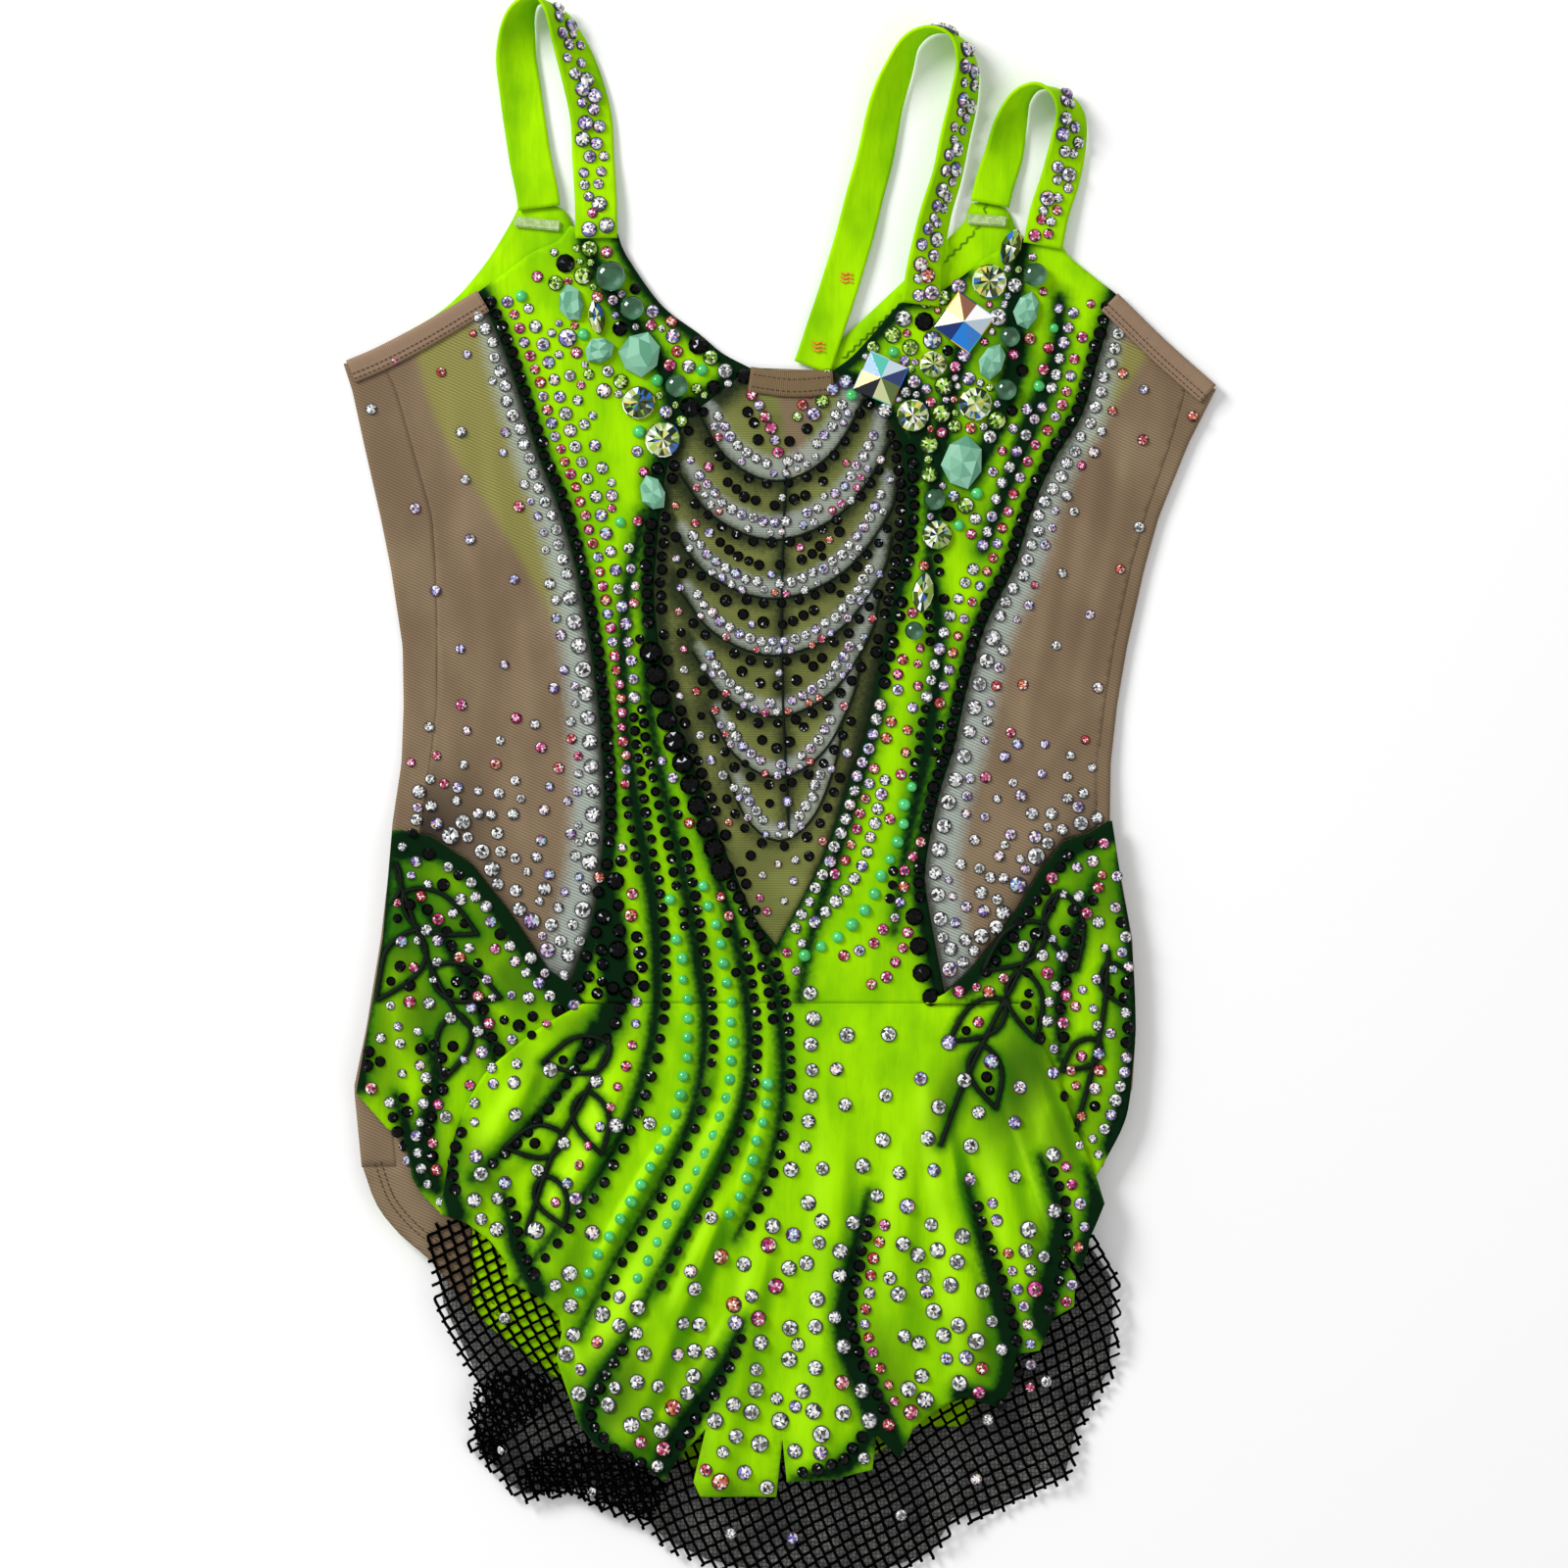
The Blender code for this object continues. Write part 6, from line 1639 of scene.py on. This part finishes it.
def layCords():
    # dark cord sewn round the leaves, and a thin one under each scallop and down the middle
    thin = []
    for level, half, wide in scallops:
        line = scallopLine(level, half)
        way = walk(line)[1]
        thin.append(line + np.stack([way[:, 1], -way[:, 0]], 1) * (wide * 0.62 + 1.2))
    middle = np.linspace(126, -18, 60)
    thin.append(np.stack([1 - 2 * np.sin(middle / 40), middle], 1))
    for name, lines, radius, depth, least in (
            ("sewn_cord_leaves", leafLines, 0.85, insideGarment, 1.8),
            ("sewn_cord_inset", thin, 0.45, lambda x, y: depthInside(insetOutline, x, y), 0.8)):
        runs = []
        for line in lines:
            line = resample(line, 1.4, closed=False)
            x, y = line[depth(*line.T) > least].T
            if len(x) > 3:
                runs.append(toFrame(x, y, topLevel(x, y) + radius * 0.5))
        obj = tubes(name, runs, radius, 6, cordBlack)
        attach(obj, "root")


def stitchRow(line, level, pitch, lean=0.0, size=2.4, offset=0.0):
    # stitches along a line of the plan; a lean turns them by turns into a zigzag
    line = resample(np.array(line, float), 0.8, closed=False)
    lengths, way = walk(line)
    spots = np.arange(pitch / 2, lengths[-1], pitch)
    x, y, dx, dy = (np.interp(spots, lengths, values) for values in (*line.T, *way.T))
    x, y = x - dy * offset, y + dx * offset
    turn = np.arctan2(dy, dx) + np.radians(lean) * np.where(np.arange(len(spots)) % 2, 1, -1)
    return {"at": toFrame(x, y, level(x, y)), "up": np.tile((0.0, 0, 1), (len(x), 1)),
            "along": np.stack([np.cos(turn), np.sin(turn), 0 * turn], 1),
            "size": np.full(len(x), size / 1000), "shade": 0 * x}


def sewAll():
    onBinding = lambda x, y: onFront(x, y) + 0.62
    onBack = lambda x, y: backLevel(x, y) + 0.5
    onBrief = lambda x, y: smoothFront(x, y) + 0.6
    onLoop = lambda x, y: 3.3 + 0 * x
    # two rows on each binding, and the leg's hem turned in and sewn twice
    tan = [(smoothLine(line), onBinding, 1.9, 0, 1.5, offset) for line, offsets in (
        (cut["leftArmhole"], (-7.4, -5.4)), (cut["rightArmhole"], (-7.4, -5.4)),
        (((-12, 163), (3, 161), (18, 162)), (-7.2, -2.4))) for offset in offsets]
    tan += [(smoothLine(cut["leftLeg"][:6], 3), onBrief, 2.2, 0, 1.6, offset) for offset in (5.0, 7.4)]
    # the raw edges inside the back are turned and zigzagged
    green = [(smoothLine(cut["backTop"][6:12], 3), onBack, 1.7, 34, 2.6, 5.0),
             (smoothLine(cut["backTop"][13:18], 3), onBack, 1.7, 34, 2.6, -5.6)]
    bars = [([(x - 2.2, y - 2 + k * 1.5), (x + 2.6, y - 2 + k * 1.5)], onLoop, 1.5, 28, 2.6)
            for x, y in ((13.5, 172), (24.5, 199)) for k in range(3)]
    for name, rows, material, slotName in (("stitches_tan", tan, threadDark, "elastic"),
                                           ("stitches_green", green, threadGreen, "velvet"),
                                           ("stitches_orange", bars, threadOrange, "velvet")):
        rows = [stitchRow(*row) for row in rows]
        points = {key: np.concatenate([row[key] for row in rows]) for key in rows[0]}
        setPieces(name, points, stitchPiece, material, 0.0, 3)


print("cords and stitches")
layCords()
sewAll()
for loop in ("strap_end_left", "strap_end_right"):
    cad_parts[loop].material_slots[0].material = elasticLoop

camera = {"height": 2.2, "frame": 0.6147, "sensor": 36.0}


def makeStage():
    size, down = 3.0, -0.0004
    paper, _, shader = startMaterial("matt_paper", 1.0, 0.0)
    shader.inputs["Base Color"].default_value = (0.93, 0.93, 0.93, 1)
    corners = [(-size, -size, down), (size, -size, down), (size, size, down), (-size, size, down)]
    newObject("floor", corners, [(0, 1, 2, 3)], paper)
    lens = bpy.data.cameras.new("camera")
    eye = linked("camera", lens)
    lens.sensor_width = camera["sensor"]
    lens.lens = camera["sensor"] * camera["height"] / camera["frame"]
    eye.location = (planShift[0] / 1000, planShift[1] / 1000, camera["height"] + 0.004)
    bpy.context.scene.camera = eye
    for name, where, power, size in (("key", (-1.5, 1.25, 1.35), 50, 0.85),
                                     ("fill", (1.4, -0.8, 1.6), 8, 1.6)):
        lamp = bpy.data.lights.new(name, "AREA")
        lamp.energy, lamp.size = power, size
        light = linked(name, lamp)
        light.location = where
        light.rotation_euler = (-Vector(where)).to_track_quat("-Z", "Y").to_euler()
    world = bpy.data.worlds.new("room")
    world.use_nodes = True
    background = world.node_tree.nodes["Background"]
    background.inputs["Color"].default_value = (1, 1, 1, 1)
    background.inputs["Strength"].default_value = 0.55
    bpy.context.scene.world = world
    bpy.context.scene.view_settings.view_transform = "Standard"


def declareCloth(obj, nodes, slotName, restsOn, held="laid", netSize=None):
    if netSize:
        # an open net covers only part of its cut, so its area is what the yarns cover
        width, length = netSize
        area = sum(face.area for face in obj.data.polygons) / 2
    else:
        width, length, area = obj["flatSize"]
        del obj["flatSize"]
    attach(obj, "root")
    if nodes:
        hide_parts(*nodes)
    # a share of the cut under 0.3 is stated with a shorter length
    share = area / (width * length)
    if share < 0.3:
        length = area / 0.31 / width


makeStage()
print("sheets")
under = "back_velvet_cloth"
for key, node, slotName, restsOn, *more in (
        ("back", "back_velvet", "velvet", ["skirt_back_velvet_cloth"]),
        ("sideLeft", "side_left", "powernet", [under], "folded"),
        ("sideRight", "side_right", "powernet", [under], "folded"),
        ("velvetLeft", "front_velvet_left", "velvet", [under]),
        ("velvetRight", "front_velvet_right", "velvet", [under]),
        ("inset", "front_inset", "sheer", [under]),
        ("meshLeft", "front_mesh_left", "powernet", [under]),
        ("meshRight", "front_mesh_right", "powernet", [under]),
        ("briefLeft", "brief_left", "powernet", [under]),
        ("briefRight", "brief_right", "powernet", [under]),
        ("briefFront", "brief_front", "velvet", [under]),
        ("hipLeft", "hip_left", "velvet", ["brief_side_left_cloth"]),
        ("hipRight", "hip_right", "velvet", ["brief_side_right_cloth"]),
        ("skirt", "skirt_front", "velvet", ["fishnet_left", "fishnet_right"], "gathered"),
        ("backSkirt", "skirt_back", "velvet", ["skirt_tulle_cloth"]),
        ("tulle", "skirt_tulle", "tulle", []),
        ("netLeft", "skirt_net", "fishnet", ["skirt_tulle_cloth"], "laid", (0.15, 0.14)),
        ("netRight", "skirt_net", "fishnet", ["skirt_tulle_cloth"], "laid", (0.14, 0.14)),
        ("netGather", None, "fishnet", ["fishnet_left"], "gathered", (0.08, 0.055)),
        ("strap_left", "strap_left", "velvet", [under]),
        ("strap_centre", "strap_centre", "velvet", [under]),
        ("strap_right", "strap_right", "velvet", [under]),
        ("armLeft", "arm_binding_left", "elastic", ["front_mesh_left_cloth"]),
        ("armRight", "arm_binding_right", "elastic", ["front_mesh_right_cloth"]),
        ("neck", "neck_binding", "elastic", ["front_inset_cloth"])):
    declareCloth(pieces[key], [node] if node else [], slotName, restsOn, *more)
for template in (roundStone, domeStone, stitchPiece):
    bpy.data.objects.remove(template)
